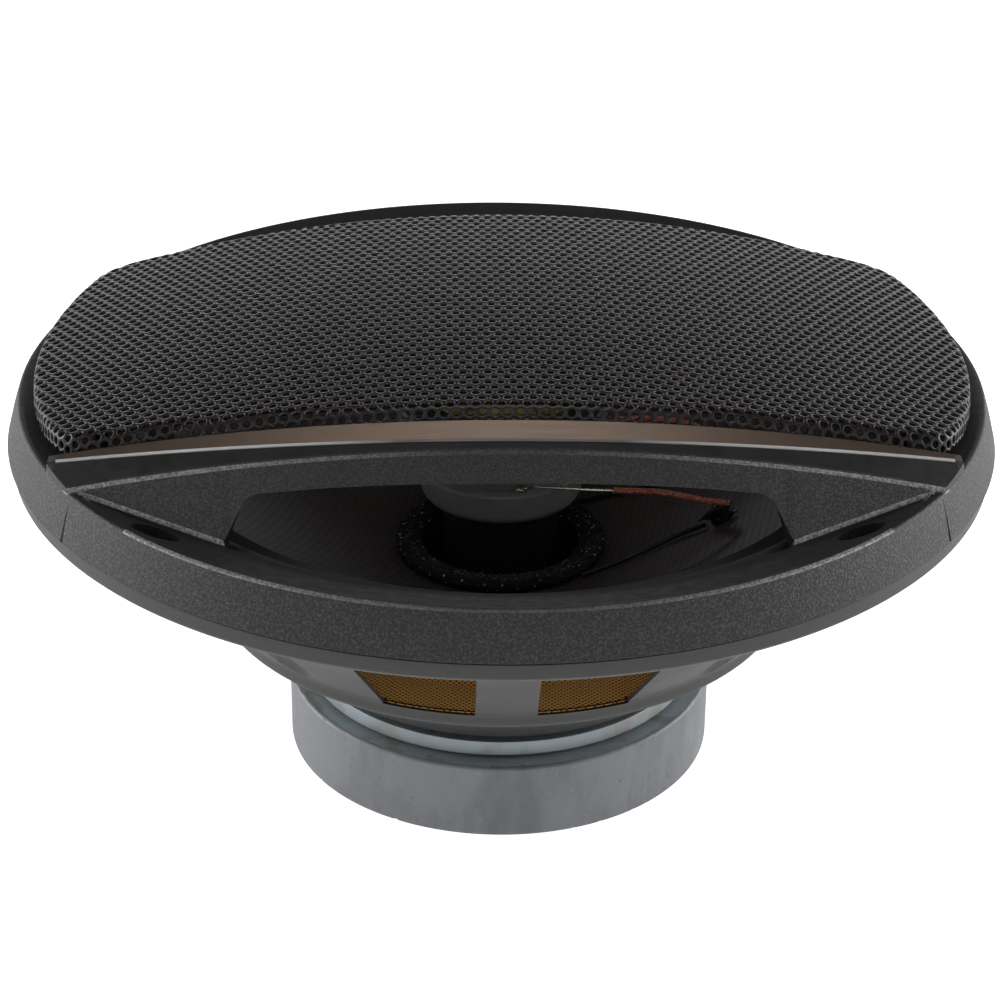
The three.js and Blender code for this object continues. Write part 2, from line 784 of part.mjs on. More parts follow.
// A strip let into the ledge between the mesh and the bridge. It tapers towards its ends.
function trimStrip() {
  const sheet = 0.8;
  const sections = crossings(72.4, 16).map((x) => {
    const innerY = meshHalfDepth(x) + 0.35;
    const outerY = Math.max(trimEdge.y(x) - 0.2, innerY + 0.3);
    const innerZ = meshFrontTop(x) - MESH_SKIRT + 0.7;
    const outerZ = trimEdge.z(x) + 0.1;
    return [
      [innerY, innerZ - sheet],
      [innerY, innerZ],
      [outerY, outerZ],
      [outerY, outerZ - sheet],
    ].map(([y, z]) => new THREE.Vector3(x, -y, z));
  });
  const inside = drum(LIP_RADIUS - 1.2, -20, 30, 0, 0, BROAD);
  return solid(lofted(sections)).intersect(solid(inside));
}

// The perforated sheet as a plain dome with a turned-down skirt.
function meshShell() {
  const outer = domedBlock(0, 0, -MESH_SKIRT);
  const inner = domedBlock(MESH_SHEET, -MESH_SHEET, -MESH_SKIRT - 5);
  return joined([outer], [inner]);
}

// A block whose outline is the mesh band, pulled in by a margin, between two offsets of the dome.
function domedBlock(margin, topOffset, bottomOffset) {
  const geometry = new THREE.BoxGeometry(2, 2, 2, 16, 6, 1);
  const place = geometry.attributes.position;
  for (let i = 0; i < place.count; i += 1) {
    const across = place.getY(i);
    const endX = Math.sqrt(MESH_RADIUS ** 2 - (36.3 * across) ** 2);
    const x = place.getX(i) * (endX - margin);
    const y = across * (meshHalfDepth(x) - margin);
    const offset = place.getZ(i) > 0 ? topOffset : bottomOffset;
    place.setXYZ(i, x, y, meshTop(x, y) + offset);
  }
  return geometry;
}

// ---------------------------------------------------------------- assembly

buildMotor();
buildBasket();
buildTerminals();
buildCone();
buildSuspension();
buildTweeter();
buildGrille();

export default group;
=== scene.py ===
"""The looks of a round coaxial car speaker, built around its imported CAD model.

Sizes in this script are millimetres in the CAD frame: +Z points out of the speaker's front and
+X runs along the mesh band. Meshes are scaled to metres when a piece is finished.
"""
import math
import random

import bmesh
import bpy
import numpy as np
from mathutils import Matrix, Vector, kdtree, noise


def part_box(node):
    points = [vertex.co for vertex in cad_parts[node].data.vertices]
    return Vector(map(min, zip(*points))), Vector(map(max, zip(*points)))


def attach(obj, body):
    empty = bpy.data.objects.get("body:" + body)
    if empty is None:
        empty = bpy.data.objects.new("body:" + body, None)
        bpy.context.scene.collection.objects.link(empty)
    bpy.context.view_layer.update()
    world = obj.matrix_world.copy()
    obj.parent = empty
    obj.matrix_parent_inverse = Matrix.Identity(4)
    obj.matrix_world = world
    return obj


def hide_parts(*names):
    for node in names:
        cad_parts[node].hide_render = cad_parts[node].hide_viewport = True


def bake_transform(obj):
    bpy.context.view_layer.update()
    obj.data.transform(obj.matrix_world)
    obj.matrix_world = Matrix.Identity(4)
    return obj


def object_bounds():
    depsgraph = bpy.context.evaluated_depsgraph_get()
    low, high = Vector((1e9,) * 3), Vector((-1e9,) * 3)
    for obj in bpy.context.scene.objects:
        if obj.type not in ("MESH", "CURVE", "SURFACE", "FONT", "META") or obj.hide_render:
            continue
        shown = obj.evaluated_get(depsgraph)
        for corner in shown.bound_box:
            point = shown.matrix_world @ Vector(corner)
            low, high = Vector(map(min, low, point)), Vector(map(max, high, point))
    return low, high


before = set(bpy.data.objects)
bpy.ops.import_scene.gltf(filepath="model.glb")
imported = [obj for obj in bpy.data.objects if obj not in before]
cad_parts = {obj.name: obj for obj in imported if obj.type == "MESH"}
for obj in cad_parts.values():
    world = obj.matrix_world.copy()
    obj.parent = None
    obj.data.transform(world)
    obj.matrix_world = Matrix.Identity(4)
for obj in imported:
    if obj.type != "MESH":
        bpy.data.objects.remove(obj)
cad_low, cad_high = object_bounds()

MM = 0.001
TURN = 2 * math.pi
BROAD = 288  # facets round the broad shells
ROUND = 144  # facets round the ordinary turned pieces
SEED = 7
SIDES = (-1, 1)
QUARTERS = [(x_side, y_side) for x_side in SIDES for y_side in SIDES]


def corners(node):
    """Lowest and highest corner of a CAD node, in millimetres."""
    low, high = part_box(node)
    return low / MM, high / MM


# ---------------------------------------------------------------- sizes taken from the frame

ring_low, ring_high = corners("grille_ring")
WALL_HEIGHT = 8.0
WALL_FLARE = 2.2
LIP_Z = ring_low.z + WALL_HEIGHT
LIP_RADIUS = ring_high.x - WALL_FLARE
SHELF = -3.0  # height of the screw shelf above the lip
PLASTIC = 1.5
WINDOW_RADIUS = 73.3
SCREW_RADIUS = 78.5

mesh_high = corners("grille_mesh")[1]
MESH_RADIUS = mesh_high.x
MESH_HALF_DEPTH = mesh_high.y
MESH_CROWN = mesh_high.z - LIP_Z
MESH_SKIRT = 3.0

basket_low, basket_high = corners("basket")
SEAT = basket_low.z
SILL = SEAT + 15.3
HEAD = SEAT + 36.0
OPENING_HALF_ANGLE = math.radians(23)
CHANNEL_ANGLES = (50, 130, 230, 310)
RIB_WIDTH = 10.3
FLANGE_BOTTOM, FLANGE_TOP = 63.4, 66.7
FLANGE_RADIUS = basket_high.y
LEDGE_RADIUS, LEDGE_Z = 50.7, 36.0
WALL_FOOT = Vector((52.0, SILL))
WALL_HEAD = Vector((75.2, 62.6))
TAB_TIP = 73.5
RIVET_X = 66.5

cone_high = corners("cone")[1]
NECK_RADIUS, NECK_Z = 15.5, 40.3
EDGE_RADIUS, EDGE_Z = cone_high.x - 0.3, cone_high.z
CONE_SLOPE = (EDGE_Z - NECK_Z) / (EDGE_RADIUS - NECK_RADIUS)

TWEETER_BASE = corners("tweeter_housing")[0].z


# ---------------------------------------------------------------- shape helpers


def shares(steps):
    """Evenly spaced shares from 0 to 1."""
    return [k / steps for k in range(steps + 1)]


def polar(radius, angle):
    return Vector((radius * math.cos(angle), radius * math.sin(angle)))


def bend(start, corner, end, t):
    """A point on the curve from start to end that leans towards the corner."""
    return start * (1 - t) ** 2 + corner * (2 * t * (1 - t)) + end * t ** 2


def fillet(outline, size=0.3, steps=3, closed=True):
    """The outline with its corners rounded. A third number on a point is that corner's own size."""
    rounded = []
    count = len(outline)
    for i, (x, y, *own) in enumerate(outline):
        corner = Vector((x, y))
        if not closed and i in (0, count - 1):
            rounded.append(tuple(corner))
            continue
        reach = own[0] if own else size
        before = Vector(outline[i - 1][:2]) - corner
        after = Vector(outline[(i + 1) % count][:2]) - corner
        start = corner + before.normalized() * min(reach, 0.45 * before.length)
        end = corner + after.normalized() * min(reach, 0.45 * after.length)
        rounded += [tuple(bend(start, corner, end, t)) for t in shares(steps)]
    return rounded


def turned(outline, segments=ROUND):
    """A body turned about Z from (radius, z) points, closed on itself or on the axis."""
    on_axis = 1e-6
    points, rings, faces = [], [], []
    for radius, z in outline:
        first = len(points)
        if radius < on_axis:
            rings.append([first] * segments)
            points.append((0.0, 0.0, z))
            continue
        rings.append(range(first, first + segments))
        points += [(*polar(radius, TURN * i / segments), z) for i in range(segments)]
    open_ends = outline[0][0] < on_axis and outline[-1][0] < on_axis
    for k in range(len(rings) - (1 if open_ends else 0)):
        low, high = rings[k], rings[(k + 1) % len(rings)]
        for i in range(segments):
            j = (i + 1) % segments
            face = list(dict.fromkeys((low[i], low[j], high[j], high[i])))
            if len(face) > 2:
                faces.append(face)
    return points, faces


def ring(inner, outer, bottom, top, edge=0.3, steps=3, segments=ROUND):
    outline = [(inner, bottom), (outer, bottom), (outer, top), (inner, top)]
    return turned(fillet(outline, edge, steps), segments)


def disc(radius, bottom, top, edge=0.3, segments=ROUND):
    outline = [(0, bottom), (radius, bottom), (radius, top), (0, top)]
    return turned(fillet(outline, edge, closed=False), segments)


def moved(shape, x=0.0, y=0.0, z=0.0):
    points, faces = shape
    return [(p[0] + x, p[1] + y, p[2] + z) for p in points], faces


def merged(*shapes):
    points, faces = [], []
    for more_points, more_faces in shapes:
        first = len(points)
        points += more_points
        faces += [[first + i for i in face] for face in more_faces]
    return points, faces


def lofted(sections):
    """A body through equal closed loops of points, with both ends capped."""
    count = len(sections[0])
    points = [p for section in sections for p in section]
    faces = [list(range(count)), list(range(len(points) - count, len(points)))]
    for a in range(0, len(points) - count, count):
        b = a + count
        for i in range(count):
            j = (i + 1) % count
            faces.append([a + i, a + j, b + j, b + i])
    return points, faces


def prism(plan, bottom, top):
    """A flat outline raised between two heights."""
    return lofted([[(x, y, z) for x, y in plan] for z in (bottom, top)])


def smooth_path(stops, steps):
    """Points along a Catmull-Rom curve through the stops."""
    stops = [Vector(stop) for stop in stops]
    padded = [2 * stops[0] - stops[1], *stops, 2 * stops[-1] - stops[-2]]
    path = []
    for share in shares(steps):
        place = share * (len(stops) - 1)
        i = min(int(place), len(stops) - 2)
        t = place - i
        a, b, c, d = padded[i : i + 4]
        path.append(
            0.5 * (2 * b + (c - a) * t + (2 * a - 5 * b + 4 * c - d) * t ** 2
                   + (3 * b - a - 3 * c + d) * t ** 3)
        )
    return path


def path_frames(path):
    """A side and an up vector across the path at each of its points."""
    frames = []
    for i in range(len(path)):
        along = (path[min(i + 1, len(path) - 1)] - path[max(i - 1, 0)]).normalized()
        side = along.cross(Vector((0, 0, 1)))
        if side.length < 1e-3:
            side = Vector((0, 1, 0))
        side.normalize()
        frames.append((side, side.cross(along)))
    return frames


def tube(path, radius, sides=10):
    """A round wire along a path. The radius may be a function of the share of the way along."""
    sections = []
    for share, centre, (side, up) in zip(shares(len(path) - 1), path, path_frames(path)):
        r = radius(share) if callable(radius) else radius
        loop = []
        for k in range(sides):
            across, over = polar(r, TURN * k / sides)
            loop.append(tuple(centre + side * across + up * over))
        sections.append(loop)
    return lofted(sections)


def braid(path, radius, strands=3, pitch=3.2, sides=7):
    """Strands wound round a path, as in a stranded pigtail lead."""
    travelled = [0.0]
    for a, b in zip(path, path[1:]):
        travelled.append(travelled[-1] + (b - a).length)
    shapes = []
    for strand in range(strands):
        wound = []
        for centre, (side, up), gone in zip(path, path_frames(path), travelled):
            across, over = polar(radius * 0.52, TURN * (gone / pitch + strand / strands))
            wound.append(centre + side * across + up * over)
        shapes.append(tube(wound, radius * 0.5, sides))
    return merged(*shapes)


def blob(size, lumps=0.25, seed=0.0):
    """A lumpy rounded mass of set solder."""
    ball = [(math.sin(math.pi * t), -math.cos(math.pi * t)) for t in shares(20)]
    points, faces = turned(ball, 28)
    shaped = []
    for p in points:
        swell = 1 + lumps * noise.noise(Vector(p) * 1.6 + Vector((seed, 0, 0)))
        shaped.append(tuple(p[i] * size[i] * swell for i in range(3)))
    return shaped, faces


# ---------------------------------------------------------------- object helpers


def placed(name, data):
    """A new object in the scene."""
    made = bpy.data.objects.new(name, data)
    bpy.context.scene.collection.objects.link(made)
    return made


def edit(mesh, change):
    """Runs a change on a mesh's edit data."""
    work = bmesh.new()
    work.from_mesh(mesh)
    change(work)
    work.to_mesh(mesh)
    work.free()


def solid(shape):
    """A Blender object that holds the shape in millimetres, with its faces pointing out."""
    points, faces = shape
    mesh = bpy.data.meshes.new("solid")
    mesh.from_pydata([tuple(p) for p in points], [], faces)
    edit(mesh, lambda work: bmesh.ops.recalc_face_normals(work, faces=work.faces))
    return placed("solid", mesh)


def boolean(target, tool, operation="DIFFERENCE"):
    """Cuts, joins or trims an object with a shape or a solid, and keeps the result as its mesh."""
    if isinstance(tool, tuple):
        tool = solid(tool)
    modifier = target.modifiers.new("boolean", "BOOLEAN")
    modifier.operation = operation
    modifier.solver = "MANIFOLD"
    modifier.object = tool
    depsgraph = bpy.context.evaluated_depsgraph_get()
    result = bpy.data.meshes.new_from_object(target.evaluated_get(depsgraph))
    target.modifiers.clear()
    target.data = result
    bpy.data.objects.remove(tool)


def drill(target, x, y, radius, bottom, top, sides=40):
    """Cuts a round upright hole."""
    boolean(target, moved(disc(radius, bottom, top, 0.01, sides), x, y))


def dress(made, names, choose):
    """Gives each face of a solid the material whose place in the list choose(face) returns."""
    made.data.materials.clear()
    for name in names:
        made.data.materials.append(MATERIALS[name])
    for face in made.data.polygons:
        face.material_index = choose(face)


def finish(made, name, slot, body, nodes=(), material=None, smooth=38, flat_faces=False):
    """Turns a solid in millimetres into a finished piece in metres, on its body."""
    made.name = name
    made.data.name = name
    made.data.transform(Matrix.Scale(MM, 4))
    made.data.shade_smooth()
    made.data.set_sharp_from_angle(angle=math.radians(smooth))
    if flat_faces:
        weighted = made.modifiers.new("flat_faces", "WEIGHTED_NORMAL")
        weighted.keep_sharp = True
    if not any(made.data.materials):
        made.data.materials.clear()
        made.data.materials.append(MATERIALS[material or slot])
    if body:
        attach(made, body)
    if nodes:
        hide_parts(*nodes)
    return made


def piece(name, shape, slot, body, *nodes, **options):
    return finish(solid(shape), name, slot, body, nodes, **options)


# ---------------------------------------------------------------- material helpers


class Shader:
    """Builds the node tree of a material or a world. Pattern sizes are in millimetres."""

    def __init__(self, owner, surface="Principled BSDF", coordinates="Object"):
        owner.use_nodes = True
        self.tree = owner.node_tree
        self.surface = self.tree.nodes[surface]
        self.place = self.node("ShaderNodeTexCoord").outputs[coordinates]

    def feed(self, socket, value):
        """Links a socket to the input, or sets it. A single number on a colour is a grey."""
        if isinstance(value, bpy.types.NodeSocket):
            self.tree.links.new(value, socket)
        elif socket.type == "RGBA":
            socket.default_value = (*np.broadcast_to(value, 3), 1.0)
        else:
            socket.default_value = value

    def node(self, kind, settings=None, **values):
        made = self.tree.nodes.new(kind)
        for key, value in (settings or {}).items():
            setattr(made, key, value)
        for key, value in values.items():
            self.feed(made.inputs[key.replace("_", " ")], value)
        return made

    def stretched(self, x, y, z):
        """The place with each axis scaled."""
        made = self.node("ShaderNodeVectorMath", {"operation": "MULTIPLY"})
        self.feed(made.inputs[0], self.place)
        self.feed(made.inputs[1], (x, y, z))
        return made.outputs[0]

    def noise(self, size, detail=4.0, rough=0.5, place=None):
        return self.node("ShaderNodeTexNoise", Vector=place or self.place, Scale=1 / (size * MM),
                         Detail=detail, Roughness=rough).outputs["Fac"]

    def cells(self, size, feature="F1"):
        return self.node("ShaderNodeTexVoronoi", {"feature": feature}, Vector=self.place,
                         Scale=1 / (size * MM)).outputs["Distance"]

    def maths(self, operation, *values):
        made = self.node("ShaderNodeMath", {"operation": operation})
        for socket, value in zip(made.inputs, values):
            self.feed(socket, value)
        return made.outputs[0]

    def times(self, a, b):
        return self.maths("MULTIPLY", a, b)

    def spread(self, value, low, high, start=0.0, end=1.0):
        """The value between low and high spread over start to end."""
        return self.node("ShaderNodeMapRange", Value=value, From_Min=low, From_Max=high,
                         To_Min=start, To_Max=end).outputs[0]

    def blend(self, share, a, b):
        made = self.node("ShaderNodeMix", {"data_type": "RGBA"})
        for index, value in ((0, share), (6, a), (7, b)):
            self.feed(made.inputs[index], value)
        return made.outputs[2]

    def over(self, base, share, strength, colour):
        """The base with a colour laid over it where the share is high."""
        return self.blend(self.times(share, strength), base, colour)

    def split(self):
        return self.node("ShaderNodeSeparateXYZ", Vector=self.place).outputs

    def paint(self, colour, rough, metallic=0.0, relief=None, depth=0.01, **more):
        """Sets the surface. A pair of roughnesses follows a pattern from 0.3 to 0.7."""
        if isinstance(rough, tuple):
            pattern, smoothest, roughest = rough
            rough = self.spread(pattern, 0.3, 0.7, smoothest, roughest)
        values = {"Base_Color": colour, "Roughness": rough, "Metallic": metallic, **more}
        if relief is not None:
            values["Normal"] = self.node("ShaderNodeBump", Height=relief, Distance=depth * MM,
                                         Strength=1.0).outputs[0]
        for key, value in values.items():
            self.feed(self.surface.inputs[key.replace("_", " ")], value)


MATERIALS = {}


def material(paint):
    """Makes the material that a function paints, and keeps it under the function's name."""
    made = bpy.data.materials.new(paint.__name__)
    paint(Shader(made))
    MATERIALS[paint.__name__] = made
    return paint


# ---------------------------------------------------------------- materials


@material
def grained_plastic(s):
    """Spark-eroded black-grey moulding with pale specks on the grain's peaks."""
    pebbles = s.times(s.cells(0.44), 0.25)
    peaks = s.spread(s.maths("SUBTRACT", s.noise(0.36, 3.0, 0.62), pebbles), 0.32, 0.62)
    dark = s.blend(s.noise(24, 3.0), 0.0105, (0.0150, 0.0145, 0.0142))
    colour = s.over(dark, peaks, 0.8, (0.066, 0.065, 0.064))
    s.paint(colour, s.spread(peaks, 0, 1, 0.62, 0.42), 0.0, peaks, 0.05)


@material
def grained_edge_highlight(s):
    """The grain's rounded edges with a painted highlight, paler towards the ends, a little shinier
    than the faces.
    """
    grain = s.spread(s.noise(0.5, 3.0, 0.65), 0.36, 0.66)
    ends = s.spread(s.maths("ABSOLUTE", s.split()[0]), 8 * MM, 46 * MM)
    dark = s.blend(ends, (0.026, 0.0255, 0.025), (0.075, 0.074, 0.073))
    # pale is the painted highlight colour on the rounded edges, strongest towards the ends
    pale = s.blend(ends, (0.075, 0.074, 0.073), (0.34, 0.34, 0.335))
    s.paint(s.blend(grain, dark, pale), s.spread(grain, 0, 1, 0.5, 0.34), 0.0, grain, 0.04)


@material
def smooth_plastic(s):
    """The grille ring's smooth zones: rim, ledge strip and screw shelf."""
    colour = s.blend(s.noise(9), (0.012, 0.0115, 0.011), (0.018, 0.017, 0.0165))
    s.paint(colour, (s.noise(2.2), 0.42, 0.56), 0.0, s.noise(0.35, 2.0), 0.008)


@material
def basket_plastic(s):
    """Satin slate-grey moulding with a faint flow pattern and fine orange peel."""
    flow = s.noise(14, 5.0, 0.6)
    dust = s.spread(s.noise(0.5, 2.0, 0.7), 0.62, 0.72)
    base = s.blend(flow, (0.034, 0.0335, 0.033), (0.050, 0.049, 0.048))
    s.paint(s.over(base, dust, 0.2, 0.18), (flow, 0.40, 0.55), 0.0, s.noise(0.9, 3.0), 0.012)


@material
def black_plastic(s):
    haze = s.noise(5)
    colour = s.blend(haze, 0.0055, (0.011, 0.011, 0.0105))
    s.paint(colour, (haze, 0.45, 0.6), 0.0, s.noise(0.4, 3.0))


@material
def tweeter_plastic(s):
    """The tweeter's moulded cup: green-grey satin."""
    haze = s.noise(6)
    colour = s.blend(haze, (0.26, 0.275, 0.26), (0.36, 0.375, 0.355))
    s.paint(colour, (haze, 0.36, 0.5), 0.0, s.noise(0.5, 3.0))


@material
def mesh_steel(s):
    """Black painted steel with paler worn patches."""
    wear = s.spread(s.noise(3.0, 5.0, 0.7), 0.55, 0.75)
    base = s.blend(s.noise(7, 3.0), (0.0105, 0.0085, 0.0078), (0.0155, 0.013, 0.012))
    colour = s.over(base, wear, 0.2, (0.06, 0.056, 0.053))
    s.paint(colour, (s.noise(1.1), 0.2, 0.34), 0.0, s.noise(0.3, 3.0), 0.012,
            Specular_IOR_Level=0.3)


@material
def hole_rim_highlight(s):
    """The mesh's hole rims, shiny, with painted highlights in patches."""
    rim_highlight_patch = s.spread(s.noise(1.6, 4.0, 0.7), 0.4, 0.65)
    # painted highlight: the rims turn pale where the patch pattern is high
    colour = s.blend(rim_highlight_patch, (0.015, 0.0125, 0.0115), (0.095, 0.085, 0.079))
    s.paint(colour, s.spread(rim_highlight_patch, 0, 1, 0.36, 0.22), 0.2, rim_highlight_patch, Specular_IOR_Level=0.3)


@material
def bronze_trim(s):
    """Champagne anodised aluminium, brushed along its length."""
    lines = s.noise(1.0, 6.0, 0.75, s.stretched(0.03, 4.0, 4.0))
    base = s.blend(s.noise(30, 2.0), (0.108, 0.079, 0.061), (0.138, 0.103, 0.080))
    colour = s.over(base, lines, 0.3, (0.18, 0.142, 0.115))
    s.paint(colour, (lines, 0.34, 0.5), 0.9, lines, 0.012)


@material
def cut_edge_highlight(s):
    """The trim's diamond-cut edge, with a painted highlight that is bright towards its ends and dark
    in the middle.
    """
    lines = s.noise(0.8, 5.0, 0.7, s.stretched(0.05, 4.0, 4.0))
    ends = s.spread(s.maths("ABSOLUTE", s.split()[0]), 18 * MM, 52 * MM)
    # painted highlight: bright towards the trim's ends, fading to dark at the middle
    bright = s.blend(lines, (0.58, 0.585, 0.59), (0.82, 0.825, 0.83))
    colour = s.blend(ends, (0.07, 0.064, 0.059), bright)
    s.paint(colour, (lines, 0.34, 0.5), 0.7, lines, 0.008)


@material
def zinc(s):
    """Blue-passivated zinc plate with cloudy spangle and a few stains."""
    cloud = s.noise(6, 5.0, 0.6)
    spots = s.spread(s.noise(1.3, 4.0, 0.7), 0.6, 0.72)
    base = s.blend(cloud, (0.36, 0.42, 0.45), (0.60, 0.65, 0.68))
    colour = s.over(base, spots, 0.5, (0.28, 0.27, 0.24))
    s.paint(colour, (cloud, 0.28, 0.46), 0.92, s.noise(0.5))


@material
def glued_zinc(s):
    """The top plate's zinc, with brown glue wiped over part of its face."""
    x, y, _ = s.split()
    round_about = s.times(s.maths("SINE", s.maths("ARCTAN2", y, x)), -0.02)
    cloud = s.noise(5, 5.0, 0.6)
    smear = s.spread(s.maths("ADD", s.noise(9, 4.0, 0.6), round_about), 0.5, 0.62)
    base = s.blend(cloud, (0.26, 0.31, 0.335), (0.42, 0.47, 0.50))
    colour = s.over(base, smear, 0.35, (0.24, 0.17, 0.10))
    s.paint(colour, (cloud, 0.42, 0.56), 0.45, s.noise(0.6), 0.012)


@material
def ferrite(s):
    """Ground ferrite: mottled grey, with dark stains, pale dust and tiny pits."""
    mottle = s.noise(5.5, 6.0, 0.62)
    fine = s.noise(0.9, 5.0, 0.7)
    stain = s.spread(s.noise(11, 4.0, 0.6, s.stretched(1, 1, 0.45)), 0.46, 0.66)
    pits = s.spread(s.noise(1.6, 3.0, 0.8), 0.28, 0.36, 1, 0)
    chips = s.spread(s.noise(1.1, 2.0, 0.6), 0.70, 0.76)
    colour = s.blend(mottle, (0.165, 0.171, 0.184), (0.245, 0.252, 0.268))
    colour = s.over(colour, fine, 0.35, (0.32, 0.327, 0.345))
    colour = s.over(colour, stain, 0.4, (0.085, 0.085, 0.09))
    colour = s.over(colour, pits, 0.6, (0.05, 0.05, 0.052))
    colour = s.over(colour, chips, 0.4, (0.42, 0.42, 0.43))
    relief = s.maths("ADD", s.times(fine, 0.5), s.times(pits, -0.8))
    s.paint(colour, (mottle, 0.44, 0.62), 0.25, relief, 0.05)


@material
def ground_ferrite_sheen(s):
    """The magnet's ground top face: brush marks with a painted bluish sheen in pale strokes, under
    brown glue.
    """
    brush_marks_and_sheen = s.noise(1.2, 5.0, 0.65, s.stretched(0.35, 2.2, 1))
    glue = s.spread(s.noise(8, 4.0, 0.6), 0.56, 0.64)
    # The bluish base and the pale strokes are a painted sheen; the brown glue is the face's own
    # colour.
    base = s.blend(s.noise(12, 3.0), (0.12, 0.145, 0.16), (0.36, 0.41, 0.44))
    base = s.over(base, brush_marks_and_sheen, 0.6, (0.55, 0.60, 0.62))
    s.paint(s.over(base, glue, 0.45, (0.16, 0.105, 0.060)), 0.42, 0.3, brush_marks_and_sheen, 0.02)


def weave(s, pitch, turn):
    """The waves of a plain weave's two thread directions, turned from the axes."""
    x, y, _ = s.split()
    cos, sin = math.cos(turn) / MM, math.sin(turn) / MM
    u = s.maths("ADD", s.times(x, cos), s.times(y, sin))
    v = s.maths("SUBTRACT", s.times(y, cos), s.times(x, sin))
    return [s.maths("SINE", s.times(way, math.pi / pitch)) for way in (u, v)]


@material
def woven_cone(s):
    """Black glass-fibre cone cloth, woven on the bias under a thin coat."""
    across, along = weave(s, 0.9, math.radians(33))
    threads = s.spread(s.times(across, along), -1, 1)
    base = s.blend(threads, (0.044, 0.036, 0.033), (0.064, 0.053, 0.050))
    colour = s.over(base, s.noise(0.8), 0.3, (0.084, 0.070, 0.066))
    s.paint(colour, s.spread(threads, 0, 1, 0.5, 0.34), 0.0, threads, 0.05)


@material
def surround_rubber(s):
    bloom = s.spread(s.noise(7), 0.4, 0.8)
    colour = s.over((0.028, 0.025, 0.024), bloom, 0.5, (0.055, 0.051, 0.049))
    s.paint(colour, s.spread(bloom, 0, 1, 0.5, 0.7), 0.0, s.noise(0.4, 3.0), 0.014)


@material
def spider_cloth(s):
    """Golden resin-treated cloth with dark gaps between its threads, and a faint painted glow on its
    threads.
    """
    across, along = weave(s, 0.72, math.radians(42))
    threads = s.times(s.maths("ABSOLUTE", across), s.maths("ABSOLUTE", along))
    gaps = s.spread(threads, 0.35, 0.7)
    golden = s.blend(s.noise(4.5), (0.80, 0.38, 0.08), (0.98, 0.52, 0.14))
    colour = s.over(golden, gaps, 0.85, (0.10, 0.045, 0.012))
    relief = s.maths("SUBTRACT", 1.0, gaps)
    # The emission is a painted glow on the threads, standing in for light reaching the cloth.
    s.paint(colour, 0.62, 0.0, relief, 0.12, Sheen_Weight=0.3, Emission_Color=golden,
            Emission_Strength=s.times(relief, 0.1))


@material
def felt(s):
    """Black felt with near-white spots here and there: painted glints on fibre ends."""
    fibres = s.noise(0.5, 6.0, 0.8)
    base = s.blend(s.spread(fibres, 0.35, 0.75), (0.006, 0.0055, 0.005), (0.022, 0.019, 0.018))
    # The near-white cell spots are painted glints.
    colour = s.blend(s.spread(s.cells(1.25), 0.17, 0.12), base, (0.85, 0.83, 0.80))
    s.paint(colour, 0.85, 0.0, fibres, 0.25)


@material
def felt_fibre(s):
    tint_and_glint = s.spread(s.noise(1.4, 2.0), 0.4, 0.7)
    # Dark to grey fibres; the palest ones are a painted glint on a few fibres.
    s.paint(s.blend(tint_and_glint, (0.02, 0.018, 0.017), (0.24, 0.22, 0.21)), 0.35)


@material
def foam(s):
    cells = s.cells(0.45, "SMOOTH_F1")
    s.paint(s.blend(cells, (0.025, 0.024, 0.023), (0.07, 0.067, 0.065)), 0.95, 0.0, cells, 0.2)


@material
def copper(s):
    """Fine copper litz: reddish, with darker gaps and bright strands."""
    strands = s.noise(0.32, 3.0, 0.6)
    colour = s.blend(s.spread(strands, 0.35, 0.68), (0.34, 0.075, 0.040), (0.95, 0.40, 0.27))
    s.paint(colour, (strands, 0.42, 0.26), 0.35, strands, 0.06)


@material
def tinned_wire(s):
    tone = s.noise(1.2)
    colour = s.blend(tone, (0.55, 0.53, 0.47), (0.82, 0.79, 0.70))
    s.paint(colour, (tone, 0.16, 0.34), 1.0, tone, 0.008)


@material
def aluminium_former(s):
    """Black anodised foil with faint rolling marks."""
    lines = s.noise(0.8, 5.0, 0.7, s.stretched(0.15, 0.15, 5.0))
    colour = s.blend(lines, (0.020, 0.020, 0.021), (0.036, 0.036, 0.037))
    s.paint(colour, (lines, 0.4, 0.55), 0.3, lines)


@material
def neodymium(s):
    cloud = s.noise(2.4)
    s.paint(s.blend(cloud, (0.52, 0.52, 0.50), (0.70, 0.69, 0.66)), (cloud, 0.18, 0.3), 1.0, cloud)


@material
def amber_film(s):
    """Thin amber plastic film with a soft satin haze."""
    haze = s.noise(2.6)
    colour = s.blend(haze, (0.46, 0.35, 0.10), (0.64, 0.52, 0.19))
    s.paint(colour, (haze, 0.22, 0.36), 0.0, haze, 0.02, Transmission_Weight=0.2, Coat_Weight=0.5)


@material
def fibreboard(s):
    fibres = s.noise(1.0, 6.0, 0.7, s.stretched(0.4, 2.5, 2.5))
    s.paint(s.blend(fibres, (0.14, 0.068, 0.028), (0.27, 0.15, 0.07)), 0.62, 0.0, fibres, 0.04)


@material
def solder_lacquer(s):
    """Glossy black lacquer over a solder joint."""
    drips = s.noise(1.5)
    s.paint(s.blend(drips, 0.004, 0.012), (drips, 0.05, 0.16), 0.0, drips, 0.12, Coat_Weight=0.8,
            Coat_Roughness=0.05)


@material
def capacitor_sleeve(s):
    wrinkle = s.noise(2.0, 5.0, 0.6, s.stretched(1, 3, 1))
    colour = s.blend(wrinkle, (0.007, 0.016, 0.055), (0.018, 0.034, 0.10))
    s.paint(colour, (wrinkle, 0.2, 0.36), 0.0, wrinkle, 0.04, Coat_Weight=0.4)


# ---------------------------------------------------------------- grille outlines

# Heights of the grille's curves are above the lip, and y is the distance from the X axis.


def mesh_half_depth(x):
    return MESH_HALF_DEPTH - 5.5 * (x / 72) ** 2


def mesh_top(x, y):
    return MESH_CROWN - 9 * (x / 72) ** 2 - 1.2 * (y / MESH_HALF_DEPTH) ** 2


